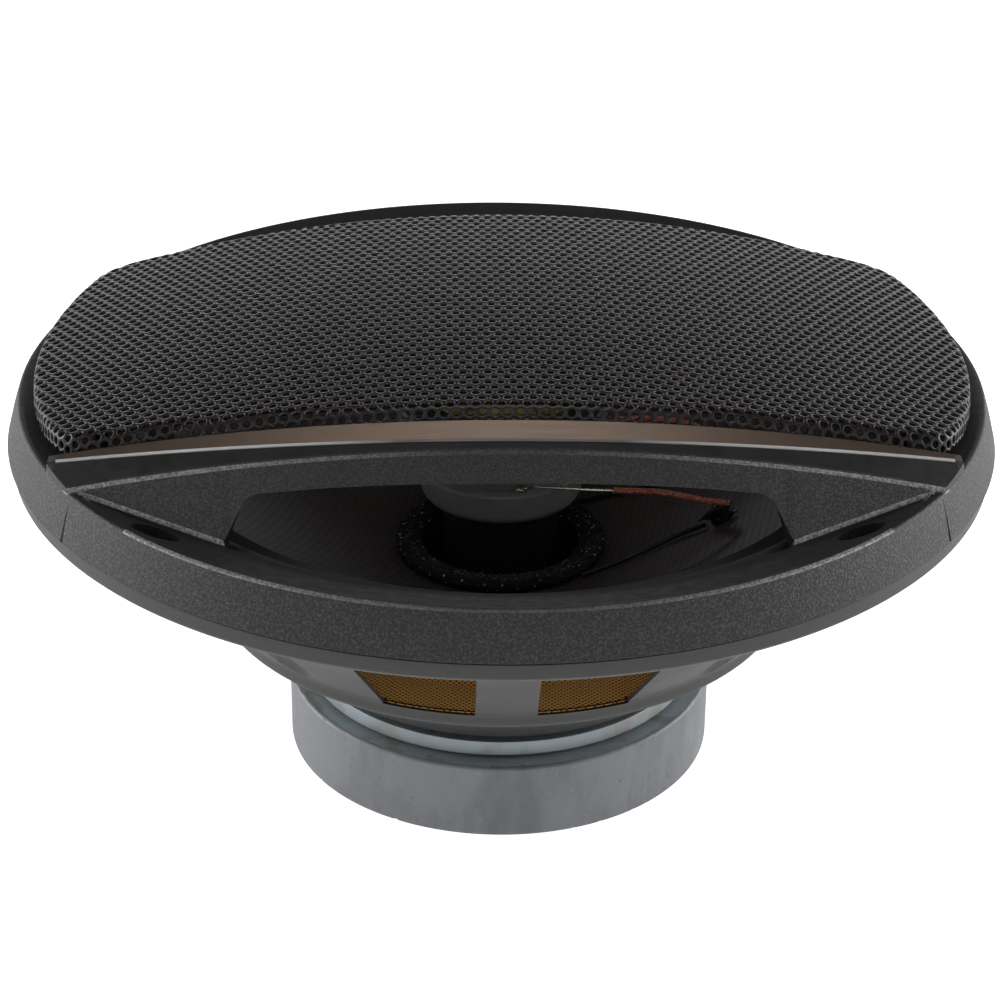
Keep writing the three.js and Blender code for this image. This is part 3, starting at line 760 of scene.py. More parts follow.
def mesh_front_top(x):
    return mesh_top(x, mesh_half_depth(x))


def trim_y(x):
    return 45.5 - 7.5 * (x / 73) ** 2


def trim_z(x):
    return 9.4 - 7.4 * (x / 73) ** 2


def ridge_y(x):
    return 47.9 - 2.6 * (x / 71) ** 2


def ridge_z(x):
    return 8.6 - 8.1 * (x / 71) ** 2


FACE_FOOT = Vector((44.6, 58.3, -2.3))  # corner of the sloping face beside the window
FACE_FOOT_FALL = 0.533
FACE_FOOT_RISE = 2.3 / 24
FACE_INNER_RADIUS = 72.8


def face_foot(x):
    """Distance from the X axis and height where the sloping face ends."""
    beyond = abs(x) - FACE_FOOT.x
    if beyond < 0:
        return math.sqrt(FACE_INNER_RADIUS ** 2 - x ** 2), FACE_FOOT.z
    rise = min(beyond * FACE_FOOT_RISE, -FACE_FOOT.z)
    return FACE_FOOT.y - beyond * FACE_FOOT_FALL, FACE_FOOT.z + rise


def face_z(x, y):
    """Height of the sloping face's plane at a plan point."""
    foot_y, foot_z = face_foot(x)
    top_y = ridge_y(x)
    share = (y - top_y) / max(foot_y - top_y, 0.5)
    return ridge_z(x) + (foot_z - ridge_z(x)) * share


def bridge_section(x, side):
    """Cross-section of the bridge: ledge for mesh and trim, narrow strip, ridge, sloping face."""
    ledge = mesh_front_top(x) - MESH_SKIRT - 0.5
    inner = mesh_half_depth(x) - 2.2
    wall = trim_y(x) + 0.15
    ridge = max(ridge_y(x), wall + 0.5)
    foot_y, foot_z = face_foot(x)
    foot = max(foot_y, ridge + 0.5)
    under = SHELF - PLASTIC + 0.1
    outline = [
        (inner, ledge - PLASTIC),
        (inner, ledge),
        (mesh_half_depth(x) + 0.2, ledge, 0.05),
        (wall, min(trim_z(x) - 1, ledge), 0.05),
        (wall, trim_z(x), 0.25),
        (ridge, ridge_z(x), 0.9),
        (foot, foot_z, 0.45),
        (foot + 0.3, SHELF - 0.1, 0.05),
        (foot + 0.3, under),
        (max(foot - 1.2, ridge + 0.3), under),
        (ridge + 0.1, max(ridge_z(x) - 1.3, under - 1)),
    ]
    return [(x, side * y, z + LIP_Z) for y, z in fillet(outline, 0.1, 4)]


def window_cut(side):
    """The crescent window: a nearly flat back edge, slanting ends and a round front edge."""
    middle, crown = Vector((0.0, 53.9)), Vector((20.0, 53.7))
    shoulder, corner = Vector((38.0, 52.1)), Vector((41.2, 51.3))
    foot = Vector((42.4, 53.2))
    half = [bend(middle, crown, shoulder, k / 16) for k in range(16)]
    half += [bend(shoulder, corner, foot, k / 16) for k in range(16)] + [foot]
    back = [Vector((-x, y)) for x, y in reversed(half[1:])] + half
    reach = math.asin(45.0 / WINDOW_RADIUS)
    front = [polar(WINDOW_RADIUS, math.pi / 2 - reach * (1 - 2 * t)) for t in shares(90)]
    undercut, drop = 5.0, 2.5
    loops = [[], [], [], []]
    for i, (x, y) in enumerate(back + front):
        share = 1.0 if i < len(back) else 0.0
        edge = LIP_Z + (face_z(x, y) if share else SHELF)
        away = Vector((x * 0.12, -y)).normalized() * (undercut * share)
        below = (x + away.x, side * (y + away.y))
        loops[0].append((x, side * y, LIP_Z + 20))
        loops[1].append((x, side * y, edge + 0.05))
        loops[2].append((*below, edge - drop))
        loops[3].append((*below, LIP_Z - 20))
    return lofted(loops)


def diagonal_places():
    """The four screw places."""
    return [polar(SCREW_RADIUS, TURN * (k + 0.5) / 4) for k in range(4)]


# ---------------------------------------------------------------- grille


def rim_shape():
    outline = [
        (WINDOW_RADIUS - 0.5, SHELF),
        (WINDOW_RADIUS + 1.4, SHELF + 0.1, 1.2),
        (SCREW_RADIUS - 0.3, SHELF + 1.2, 1.8),
        (LIP_RADIUS - 2.1, -0.6, 1.4),
        (LIP_RADIUS - 0.9, 0.0, 0.4),
        (LIP_RADIUS - 0.1, -0.1, 0.6),
        (LIP_RADIUS + WALL_FLARE * 0.45, -3.4, 1.5),
        (LIP_RADIUS + WALL_FLARE, -WALL_HEIGHT, 0.25),
        (LIP_RADIUS + WALL_FLARE - PLASTIC, -WALL_HEIGHT, 0.2),
        (LIP_RADIUS - 0.6, SHELF - PLASTIC),
        (WINDOW_RADIUS - 0.5, SHELF - PLASTIC),
    ]
    return turned([(r, z + LIP_Z) for r, z in fillet(outline, 0.3, 4)], BROAD)


def seam_shape(x_side, y_side):
    """A narrow upright wedge that cuts the moulding line into the wall at a crescent's tip."""
    along = polar(1, math.radians(33.4)) * Vector((x_side, y_side))
    half_width = Vector((-along.y, along.x)) * 1.92
    far = along * (LIP_RADIUS + 4)
    sections = []
    for radius, z in (
        (LIP_RADIUS + WALL_FLARE - 0.3, LIP_Z - WALL_HEIGHT - 1),
        (LIP_RADIUS - 0.25, LIP_Z + 1),
    ):
        plan = (along * radius, far + half_width, far - half_width)
        sections.append([(*p, z) for p in plan])
    return lofted(sections)


def screw_recess(x, y):
    """An oval pocket round a screw hole, lying along the foot of the sloping face."""
    half_length, half_width, lean = 4.5, 2.4, math.radians(33)
    along = Vector((math.copysign(math.cos(lean), x), -math.copysign(math.sin(lean), y)))
    across = Vector((-along.y, along.x))
    centre = Vector((x, y)) * 1.005
    plan = []
    for k in range(48):
        share_along, share_across = polar(1, TURN * k / 48)
        plan.append(centre + along * half_length * share_along
                    + across * half_width * share_across)
    return prism(plan, LIP_Z - 4.0, LIP_Z + 1)


def grille_ring():
    made = solid(rim_shape())
    reach, low, high = LIP_RADIUS - 0.12, LIP_Z - 20, LIP_Z + 30
    inside = turned([(0, low), (reach, low), (reach, high), (0, high)], BROAD)
    for side in SIDES:
        bridge = solid(lofted([bridge_section(150 * t - 75, side) for t in shares(220)]))
        boolean(bridge, inside, "INTERSECT")
        boolean(made, bridge, "UNION")
        boolean(made, window_cut(side))
    for x, y in diagonal_places():
        boss = ring(2.2, 4.2, LIP_Z - WALL_HEIGHT, LIP_Z + SHELF - 0.6, 0.2, 2, 48)
        boolean(made, moved(boss, x, y), "UNION")
        boolean(made, screw_recess(x, y))
        drill(made, x, y, 2.2, LIP_Z - 15, LIP_Z + 5)
    for x_side, y_side in QUARTERS:
        boolean(made, seam_shape(x_side, y_side))
    dress(made, ("grained_plastic", "smooth_plastic", "grained_edge_highlight"), grain_zone)
    finish(made, "grille_ring_moulding", "grained_plastic", "grille", ["grille_ring"], smooth=32,
           flat_faces=True)


def grain_zone(face):
    """0 for the grained wall and slopes, 1 for smooth plastic, 2 for the rounded edges with a painted
    highlight.
    """
    x, y, z = face.center
    radius = math.hypot(x, y)
    height = z - LIP_Z
    foot_y, foot_z = face_foot(x)
    on_ridge = abs(abs(y) - ridge_y(x)) < 0.34 and abs(height - ridge_z(x)) < 0.5
    on_foot = abs(abs(y) - foot_y) < 0.36 and abs(height - foot_z) < 0.5 and abs(x) > 44
    on_lip = LIP_RADIUS - 0.8 < radius < LIP_RADIUS + 0.1 and abs(height) < 0.5 and abs(y) > 58
    if on_lip or (abs(x) < 71.5 and face.normal.z > 0.12 and (on_ridge or on_foot)):
        return 2
    on_slope = (
        abs(x) < 73
        and ridge_y(x) - 0.7 < abs(y) < foot_y + 0.3
        and abs(height - face_z(x, abs(y))) < 0.6
        and face.normal.z > 0.3
    )
    return 0 if on_slope or radius > LIP_RADIUS - 0.5 else 1


def band_outline():
    """Closed plan outline of the mesh band with rounded corners, as points 0.1 mm apart."""
    corner, end_half = 5.0, 36.3
    edge_x = math.sqrt(MESH_RADIUS ** 2 - end_half ** 2)
    stop = Vector((edge_x - corner, mesh_half_depth(edge_x - corner)))
    tip = Vector((edge_x, mesh_half_depth(edge_x)))
    turn = math.asin(end_half / MESH_RADIUS) - corner / MESH_RADIUS
    begin = polar(MESH_RADIUS, turn)
    quarter = [polar(MESH_RADIUS, turn * k / 900) for k in range(900)]
    quarter += [bend(begin, tip, stop, k / 120) for k in range(120)]
    for share in shares(900):
        x = stop.x * (1 - share)
        quarter.append(Vector((x, mesh_half_depth(x))))
    half = quarter + [Vector((-p.x, p.y)) for p in reversed(quarter[:-1])]
    return half + [Vector((p.x, -p.y)) for p in reversed(half[1:-1])]


class Sheet:
    """Maps a flat perforated blank on to the domed band with its turned-down skirt."""

    bend_radius = 1.3
    fall = math.radians(84)

    def __init__(self):
        outline = band_outline()
        count = len(outline)
        self.tree = kdtree.KDTree(count)
        self.normals = []
        self.line = []
        for i, p in enumerate(outline):
            along = (outline[(i + 3) % count] - outline[i - 3]).normalized()
            out = Vector((along.y, -along.x))
            inset = p - out * self.bend_radius
            self.line.append(inset)
            self.normals.append(out)
            self.tree.insert((*inset, 0), i)
        self.tree.balance()
        self.length = self.bend_radius * self.fall + MESH_SKIRT - 1.1

    def outside(self, x, y):
        """How far a point of the blank lies outside the bend line, and the nearest place on it."""
        _, i, _ = self.tree.find((x, y, 0))
        return (Vector((x, y)) - self.line[i]).dot(self.normals[i]), i

    def place(self, x, y, depth):
        """The point at a depth under the sheet's outer face."""
        away, i = self.outside(x, y)
        slope = Vector((-18 * x / 72 ** 2, -2.4 * y / MESH_HALF_DEPTH ** 2))
        if away <= 0:
            normal = Vector((-slope.x, -slope.y, 1)).normalized()
            return Vector((x, y, LIP_Z + mesh_top(x, y))) - normal * depth
        out, foot = self.normals[i], self.line[i]
        lean = max(0.0, math.atan(-slope.dot(out)))
        away = min(away, self.length)
        angle = min(lean + away / self.bend_radius, self.fall)
        cos, sin = math.cos(angle), math.sin(angle)
        straight = max(0.0, away - (self.fall - lean) * self.bend_radius)
        reach = foot + out * (self.bend_radius * (sin - math.sin(lean)) + straight * cos)
        drop = self.bend_radius * (math.cos(lean) - cos) + straight * sin
        base = Vector((*reach, LIP_Z + mesh_top(foot.x, foot.y) - drop))
        return base - Vector((*(out * sin), cos)) * depth


def grille_mesh():
    """Sheet steel with round holes on a hexagonal lattice, closest together along X."""
    pitch, hole, thickness, chamfer = 2.05, 0.70, 0.8, 0.13
    sheet = Sheet()
    row_gap = pitch * math.sqrt(3) / 2
    rows = int((MESH_HALF_DEPTH + 6) / row_gap)
    across = int((MESH_RADIUS + 6) / pitch)
    points, faces, on_rim, shared = [], [], [], {}

    def vertex(x, y, depth):
        points.append(tuple(sheet.place(x, y, depth)))
        return len(points) - 1

    def shared_vertex(x, y, depth):
        key = (round(x * 50), round(y * 50), depth)
        if key not in shared:
            shared[key] = vertex(x, y, depth)
        return shared[key]

    for row in range(-rows, rows + 1):
        for step in range(-across, across + 1):
            cx = (step + 0.5 * (row % 2)) * pitch
            cy = row * row_gap
            if sheet.outside(cx, cy)[0] > sheet.length:
                continue
            loops = [[], [], [], [], []]
            for k in range(12):
                angle = TURN * k / 12
                dx, dy = math.cos(angle), math.sin(angle)
                reach = pitch / 2 if k % 2 == 0 else pitch / math.sqrt(3)
                bx, by = cx + dx * reach, cy + dy * reach
                loops[0].append(shared_vertex(bx, by, 0.0))
                rims = ((hole + chamfer, 0.0), (hole, chamfer), (hole, thickness))
                for loop, (rim, depth) in zip(loops[1:4], rims):
                    loop.append(vertex(cx + dx * rim, cy + dy * rim, depth))
                loops[4].append(shared_vertex(bx, by, thickness))
            for index, (upper, lower) in enumerate(zip(loops, loops[1:])):
                for k in range(12):
                    j = (k + 1) % 12
                    faces.append([upper[k], upper[j], lower[j], lower[k]])
                    on_rim.append(index == 1)
    made = solid((points, faces))
    # The hole rims get the material with the painted highlight.
    dress(made, ("mesh_steel", "hole_rim_highlight"), lambda face: on_rim[face.index])
    edit(made.data, close_edges)
    finish(made, "grille_mesh_sheet", "mesh_steel", "grille", ["grille_mesh"], smooth=70)


def close_edges(work):
    """Merges squeezed points and drops what has no area."""
    bmesh.ops.remove_doubles(work, verts=work.verts, dist=0.004)
    bmesh.ops.dissolve_degenerate(work, edges=work.edges, dist=0.002)
    flat = [f for f in work.faces if f.calc_area() < 1e-5]
    bmesh.ops.delete(work, geom=flat, context="FACES_ONLY")
    loose = [v for v in work.verts if not v.link_faces]
    bmesh.ops.delete(work, geom=loose, context="VERTS")


def trim_strip(side):
    """A thin brushed strip between the mesh skirt and the bridge, tapering to its ends."""
    sheet = 0.8
    sections = []
    for share in shares(180):
        x = 73.4 * (2 * share - 1)
        inner_y = mesh_half_depth(x) + 0.35
        outer_y = max(trim_y(x) - 0.05, inner_y + 0.3)
        inner_z = mesh_front_top(x) - MESH_SKIRT + 0.7
        outer_z = trim_z(x) + 0.2
        outline = [
            (inner_y, inner_z - sheet),
            (inner_y, inner_z, 0.15),
            (outer_y - 0.3, outer_z, 0.08),
            (outer_y, outer_z - 0.3, 0.08),
            (outer_y, outer_z - sheet - 0.25),
        ]
        sections.append([(x, side * y, z + LIP_Z) for y, z in fillet(outline, 0.1, 4)])
    return lofted(sections)


def trim_strips():
    def on_edge(face):
        x, y, _ = face.center
        return trim_y(x) - 0.42 < abs(y) and abs(face.normal.x) < 0.9

    for name, side in (("front", -1), ("rear", 1)):
        made = solid(trim_strip(side))
        dress(made, ("bronze_trim", "cut_edge_highlight"), on_edge)
        finish(made, f"{name}_trim_bronze", "bronze_trim", "grille", [f"{name}_trim_strip"],
               smooth=28, flat_faces=True)


# ---------------------------------------------------------------- basket and motor


def basket_outline():
    return [
        (24, SEAT, 0.2), (33.8, SEAT, 0.5), (36, SEAT + 1.2, 0.8), (45.2, SEAT + 8.6, 1.5),
        (46.8, SEAT + 11.2, 0.8), (50.9, SEAT + 12.4, 0.5), (51.8, SEAT + 13.1, 0.6),
        (*WALL_FOOT, 0.8), (*WALL_HEAD, 0.8), (76.6, FLANGE_BOTTOM, 0.6),
        (FLANGE_RADIUS - 0.7, FLANGE_BOTTOM, 0.3), (FLANGE_RADIUS, FLANGE_BOTTOM + 0.7, 0.3),
        (FLANGE_RADIUS, FLANGE_TOP), (74.4, FLANGE_TOP), (74.4, 62.9), (71, 62.9), (71, 61),
        (LEDGE_RADIUS, SILL + 1.6), (LEDGE_RADIUS, LEDGE_Z), (45.8, LEDGE_Z), (45.2, 34.2),
        (34.6, 25.6), (33, 24.4), (24, 24.4),
    ]


def opening_plan(x_side, y_side):
    slope = math.tan(OPENING_HALF_ANGLE)
    near, far = RIB_WIDTH / 2 / slope, 90.0
    plan = [(RIB_WIDTH / 2, near), (RIB_WIDTH / 2, far), (far * slope, far)]
    return [(x * x_side, y * y_side) for x, y in plan]


def opening_relief(x_side, y_side, wall=0.9):
    """Thins the wall behind an opening's outer side, so that its edge looks thin."""
    slope = (WALL_HEAD.x - WALL_FOOT.x) / (WALL_HEAD.y - WALL_FOOT.y)
    near, far = math.radians(15), OPENING_HALF_ANGLE + math.radians(5)
    loops = []
    for z in (SILL + 0.3, HEAD):
        reach = WALL_FOOT.x + (z - WALL_FOOT.y) * slope - wall
        loop = [polar(reach, math.pi / 2 - near - (far - near) * t) for t in shares(12)]
        loop += [p * 0.55 for p in reversed(loop)]
        loops.append([(p.x * x_side, p.y * y_side, z) for p in loop])
    return lofted(loops)


def channel_shape(angle, radius=9.0, depth=1.3, half=13.0):
    """A round-ended shallow valley down a broad spoke."""
    along = (WALL_HEAD - WALL_FOOT).normalized()
    out = Vector((along.y, -along.x))
    middle = WALL_FOOT.lerp(WALL_HEAD, 0.5) + out * (radius - depth)
    lower = [polar(radius, math.pi / 2 * (t - 1)) - Vector((0, half * 0.85)) for t in shares(12)]
    outline = lower + [Vector((r, -h)) for r, h in reversed(lower)]
    turned_points, faces = turned(outline, 48)
    points = []
    for x, y, z in turned_points:
        r, height = middle + out * x + along * z
        points.append((
            r * math.cos(angle) - y * math.sin(angle),
            r * math.sin(angle) + y * math.cos(angle),
            height,
        ))
    return points, faces


def basket():
    made = solid(turned(fillet(basket_outline(), 0.25, 3), BROAD))
    tab = [(60.9, -12.5), (TAB_TIP, -12.5), (TAB_TIP, 12.5), (60.9, 12.5)]
    boolean(made, prism(fillet(tab, 1.5, 6), 47.6, 50), "UNION")
    for quarter in QUARTERS:
        boolean(made, prism(opening_plan(*quarter), SILL, HEAD))
        boolean(made, opening_relief(*quarter))
    for angle in CHANNEL_ANGLES:
        boolean(made, channel_shape(math.radians(angle)))
    for y in (-6, 6):
        drill(made, RIVET_X, y, 1.5, 40, 60, 32)
    lead_slot = [(57, -12), (72, -12), (72, 12), (57, 12)]
    boolean(made, prism(lead_slot, 50, 56))
    for x, y in diagonal_places():
        drill(made, x, y, 2.6, 60, 70)
    # Painted shade: the lower bowl's faces under the ledge get black plastic instead of the basket's
    # grey.
    painted_shade_below = SILL - 2.6
    dress(made, ("basket_plastic", "black_plastic"), lambda face: face.center.z < painted_shade_below)
    finish(made, "basket_moulding", "basket_plastic", "chassis", ["basket"], smooth=30,
           flat_faces=True)


def chipped(shape, centre_low, centre_high, amount=0.9):
    """The shape with small chips out of its upper and lower outer edges."""
    points, faces = shape
    worn = []
    for x, y, z in points:
        radius = math.hypot(x, y)
        edge = min(abs(z - centre_low), abs(z - centre_high))
        if edge < 1.2 and radius > 30:
            place = Vector((x, y, z))
            rough = noise.noise(place * 0.45) + 0.5 * noise.noise(place * 1.3)
            bite = max(0.0, rough - 0.42) * amount * (1 - edge / 1.2)
            x, y = x * (1 - bite / radius), y * (1 - bite / radius)
        worn.append((x, y, z))
    return worn, faces


def ring_magnet():
    low, high = corners("ring_magnet")
    outline = [
        (20, low.z), (high.x, low.z, 0.8), (high.x, (low.z + high.z) / 2), (high.x, high.z, 0.9),
        (20, high.z),
    ]
    body = turned(fillet(outline, 0.4, 6), 720)
    made = solid(chipped(body, low.z, high.z))
    # The upward faces get the ferrite with the painted sheen.
    dress(made, ("ferrite", "ground_ferrite_sheen"), lambda face: face.normal.z > 0.95)
    finish(made, "ring_magnet_ferrite", "ferrite", "chassis", ["ring_magnet"], flat_faces=True)


def motor():
    ring_magnet()
    low, high = corners("top_plate")
    outline = [
        (16.3, low.z), (high.x - 0.5, low.z, 0.05), (high.x - 0.5, low.z + 0.4, 0.05),
        (high.x, low.z + 0.4, 0.08), (high.x, high.z, 0.15), (16.3, high.z),
    ]
    piece("top_plate_zinc", turned(fillet(outline, 0.2, 3), BROAD), "zinc", "chassis", "top_plate",
          material="glued_zinc", flat_faces=True)

    high = corners("back_plate_with_pole")[1]
    bore, counterbore, pole = 2.7, 5.8, 14.5
    outline = [
        (counterbore, 0), (13.0, 0), (13.0, 0.25), (13.6, 0.25), (13.6, 0), (24.5, 0), (24.5, 0.3),
        (25.1, 0.3), (25.1, 0), (high.x, 0, 0.6), (high.x, 4, 0.6), (pole, 4),
        (pole, high.z, 0.5), (bore, high.z), (bore, 2.6), (counterbore, 2.6),
    ]
    piece("back_plate_zinc", turned(fillet(outline, 0.15, 3), BROAD), "zinc", "chassis",
          "back_plate_with_pole")

    high = corners("tweeter_post")[1]
    outline = [(0, 31), (bore, 31), (bore, 22), (high.x, 22, 0.4), (high.x, high.z, 0.6), (0, high.z)]
    piece("tweeter_post_moulding", turned(fillet(outline, 0.2, 3, closed=False)), "black_plastic",
          "chassis", "tweeter_post")

    low, high = corners("surround_clamp_ring")
    piece("surround_gasket", ring(71, high.x, low.z, high.z, 0.5, 4, BROAD), "foam", "chassis",
          "surround_clamp_ring")


# ---------------------------------------------------------------- cone and suspension


def cone_top(radius):
    return NECK_Z + (radius - NECK_RADIUS) * CONE_SLOPE


def cone():
    upper = []
    for share in shares(40):
        radius = NECK_RADIUS + (EDGE_RADIUS - NECK_RADIUS) * share
        upper.append((radius, cone_top(radius) - 0.25 * math.sin(math.pi * share)))
    lower = [(r + 0.3, z - 0.75) for r, z in reversed(upper[1:])]
    outline = upper + [(EDGE_RADIUS + 0.3, EDGE_Z - 0.4)] + lower + [(NECK_RADIUS, NECK_Z - 1.6)]
    piece("cone_woven", turned(outline, BROAD), "woven_cone", "cone_assembly", "cone")

    low, high = corners("voice_coil_former")
    piece("voice_coil_former_foil", ring(14.9, high.x, low.z, high.z, 0.1, 2), "aluminium_former",
          "cone_assembly", "voice_coil_former")
    winding()


def winding():
    """A layer of round wire: a ridge for every turn."""
    low, high = corners("voice_coil_winding")
    turns = 26
    gap = (high.z - low.z) / turns
    outer = []
    for k in range(turns):
        for share, swell in ((0.05, -0.08), (0.5, 0.0), (0.95, -0.08)):
            outer.append((high.x + swell, low.z + (k + share) * gap))
    outline = [(15.4, low.z), *outer, (15.4, high.z)]
    piece("voice_coil_wire", turned(outline, 96), "copper", "cone_assembly", "voice_coil_winding")


def felt_ring():
    """A thick felt ring at the cone's neck with loose fibres standing off it."""
    top = corners("voice_coil_former")[1].z
    outline = [
        (15.6, 40.9), (18.4, cone_top(18.4) + 0.3), (18.9, 43.0, 0.7), (18.3, 44.3, 0.9),
        (16.2, top + 0.9, 0.8), (14.3, top + 0.7, 0.6), (13.9, top - 0.1, 0.4),
        (14.3, top + 0.1, 0.05), (15.6, top + 0.1, 0.05),
    ]
    points, faces = turned(fillet(outline, 0.4, 5), 240)
    fuzzy = []
    for x, y, z in points:
        place = Vector((x, y, z))
        lump = noise.noise(place * 1.1) * 0.22 + noise.noise(place * 2.9) * 0.12
        scale = 1 + lump / math.hypot(x, y)
        fuzzy.append((x * scale, y * scale, z + lump * 0.6))
    piece("felt_ring", (fuzzy, faces), "felt", "cone_assembly", "felt_neck_ring")

    draw = random.Random(SEED)
    hairs = []
    for _ in range(900):
        angle = draw.uniform(0, TURN)
        radius = draw.uniform(15.9, 19.2)
        root = Vector((*polar(radius, angle), 44.2 if radius < 18.4 else 43.2))
        lean = Vector((draw.gauss(0, 0.5), draw.gauss(0, 0.5), draw.uniform(0.15, 0.6)))
        droop = Vector((draw.gauss(0, 0.3), draw.gauss(0, 0.3), draw.gauss(0, 0.12)))
        path = [root, root + lean * 0.5, root + lean + droop * 0.5]
        hairs.append(tube(path, lambda t: 0.045 * (1 - 0.6 * t), 4))
    piece("felt_fibres", merged(*hairs), "felt", "cone_assembly", material="felt_fibre")


def radial_share(obj):
    """Bakes a round piece's placement into its mesh and reads its points into an array."""
    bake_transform(obj)
    co = np.zeros(len(obj.data.vertices) * 3, np.float32)
    obj.data.vertices.foreach_get("co", co)
    co = co.reshape(-1, 3)


def surround():
    """A half roll of rubber with flat lands on the cone and in the basket."""
    centre, radius, sheet = 66.4, 4.2, 0.7
    base = EDGE_Z + 0.6
    land = corners("surround")[1].x
    inner = EDGE_RADIUS - 4

    def roll(size, start, end):
        arc = [polar(size, math.pi * (start + (end - start) * t)) for t in shares(22)]
        return [(centre + x, base + z) for x, z in arc]

    outline = [
        (centre - radius, base), (inner, EDGE_Z + 0.3), (inner, EDGE_Z + 1),
        *roll(radius, 0.94, 0.06),
        (centre + radius + 0.4, base + sheet), (land, base + sheet), (land, base),
        (centre + radius - sheet, base),
        *roll(radius - sheet, 0.08, 0.92),
    ]
    made = piece("surround_roll", turned(outline, BROAD), "surround_rubber", None, "surround")
    radial_share(made)


def spider():
    """Corrugated cloth disc between the coil former and the basket's ledge."""
    middle, sheet = 37.0, 0.5
    start, end, pitch = 19.0, 44.0, 12.5
    inner, outer = 15.6, corners("spider")[1].x
    upper = []
    for share in shares(120):
        r = inner + (outer - inner) * share
        wave = 1.05 * math.sin((r - start) * TURN / pitch) if start <= r <= end else 0.0
        upper.append((r, middle + wave))
    flap = [(51.4, SILL + 0.12), (51.5, SILL - 0.2)]
    outline = upper + flap + [(r, z - sheet) for r, z in reversed(upper)]
    made = piece("spider_cloth_disc", turned(outline, BROAD), "spider_cloth", None, "spider")
    radial_share(made)


# ---------------------------------------------------------------- wires


def tweeter_lead(name, side, lift):
    """A tinned solid wire that runs into a copper pigtail, down to the joint on the cone."""
    stops = [
        (5.6, side * 11.2, 59.0), (15.5, side * 12, 58.7 + lift), (27, side * 13.2, 58.9 + lift),
        (35, side * 13.6, 57.5 + lift), (39.6, side * 12.4, 56.4),
    ]
    path = smooth_path(stops, 150)
    split = 50
    bare = tube(path[: split + 3], 0.26, 10)
    soaked = braid(path[split:], 0.6, 4, 2.6, 8)
    made = solid(merged(bare, soaked))
    bare_count = len(bare[1])
    dress(made, ("copper", "tinned_wire"), lambda face: face.index < bare_count)
    finish(made, f"{name}_tweeter_pigtail", "copper", None, [f"{name}_tweeter_lead"])
    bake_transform(made)


def tinsel_lead(name, side):
    stops = [
        (61, side * 6, 54.4), (56.5, side * 6.6, 53.8), (51, side * 7.8, 50.6),
        (45, side * 9.2, 49.4), (41, side * 10.2, 51.4),
    ]
    path = smooth_path(stops, 120)
    made = piece(f"{name}_tinsel_pigtail", braid(path, 0.62, 3, 3.0, 8), "copper", None,
                 f"{name}_tinsel_lead")
    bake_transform(made)


def cone_joint(name, side):
    """Lacquered solder joint on the cone, with its thin coil lead glued along the cone."""
    radius = math.hypot(37.4, 11)
    base = cone_top(radius)
    drips = (
        ((39.4, 12.2, 56.6), (37.6, 11.6, base + 2.6), (34.6, 11.0, base + 0.6)),
        ((36.6, 11.2, base + 0.9), (38.6, 11.0, base + 1.2), (41.2, 10.4, base + 2.2)),
    )

    def swell(t):
        return 0.25 + 1.05 * math.sin(math.pi * min(t + 0.12, 1)) ** 0.8

    lumps = []
    for drip in drips:
        path = smooth_path([(x, side * y, z) for x, y, z in drip], 40)
        lumps.append(tube(path, swell, 16))
    piece(f"{name}_joint_lacquer", merged(*lumps), "solder_lacquer", "cone_assembly",
          f"{name}_solder_joint")
    stops = []
    for t in shares(4):
        r = (radius - 1.5) * (1 - t) + 19.9 * t
        angle = side * (0.3 * (1 - t * t) + 0.78 * t * t)
        stops.append((*polar(r, angle), cone_top(r) + 0.55))
    piece(f"{name}_coil_leadout", tube(smooth_path(stops, 60), 0.42, 10), "black_plastic",
          "cone_assembly", f"{name}_coil_lead")


def wires():
    for name, side, lift in (("front", -1, 0.0), ("rear", 1, 1.6)):
        tweeter_lead(name, side, lift)
        cone_joint(name, side)
    for name, side in (("negative", -1), ("positive", 1)):
        tinsel_lead(name, side)


# ---------------------------------------------------------------- tweeter


def tweeter():
    outline = [
        (0, -1.3), (13.2, -1.3, 0.9), (14.2, -0.3, 0.8), (14.9, 4.6, 0.5), (12.2, 5), (12.2, 6.6),
        (17.2, 10.6, 0.8), (18.6, 13.4, 1.0), (18.6, 17, 0.3), (17.6, 17, 0.3), (17.4, 12.6),
        (13.2, 9.4), (11.3, 8.8), (11.3, 3), (0, 3),
    ]
    cup = turned(fillet(outline, 0.25, 4, closed=False))
    solder = moved(blob((1.4, 0.7, 0.6), 0.5, seed=2.0), 3.2, -12.6, 59.2)
    piece("tweeter_solder_drop", solder, "zinc", "chassis", material="tinned_wire")
    piece("tweeter_cup", moved(cup, z=TWEETER_BASE), "black_plastic", "chassis",
          "tweeter_housing", material="tweeter_plastic")

    low, high = corners("tweeter_magnet_pot")
    floor_top, inner = low.z + 1.3, 9.9
    outline = [(0, low.z), (high.x, low.z), (high.x, high.z), (inner, high.z), (inner, floor_top),
               (0, floor_top)]
    piece("tweeter_pot", turned(fillet(outline, 0.3, 3, closed=False)), "zinc", "chassis",
          "tweeter_magnet_pot")
    for name, node, slot in (
        ("tweeter_magnet_disc", "tweeter_magnet", "neodymium"),
        ("tweeter_pole_disc", "tweeter_pole_plate", "zinc"),
    ):
        low, high = corners(node)
        piece(name, disc(high.x, low.z, high.z, 0.4), slot, "chassis", node)
    for name, node, inner, edge, slot, body in (
        ("tweeter_coil_wire", "tweeter_voice_coil", 8.85, 0.12, "copper", "tweeter_diaphragm"),
        ("tweeter_carrier_ring", "tweeter_dome_carrier", 12.4, 0.3, "amber_film", "chassis"),
    ):
        low, high = corners(node)
        piece(name, ring(inner, high.x, low.z, high.z, edge), slot, body, node)
    tweeter_dome()
    tweeter_guard()


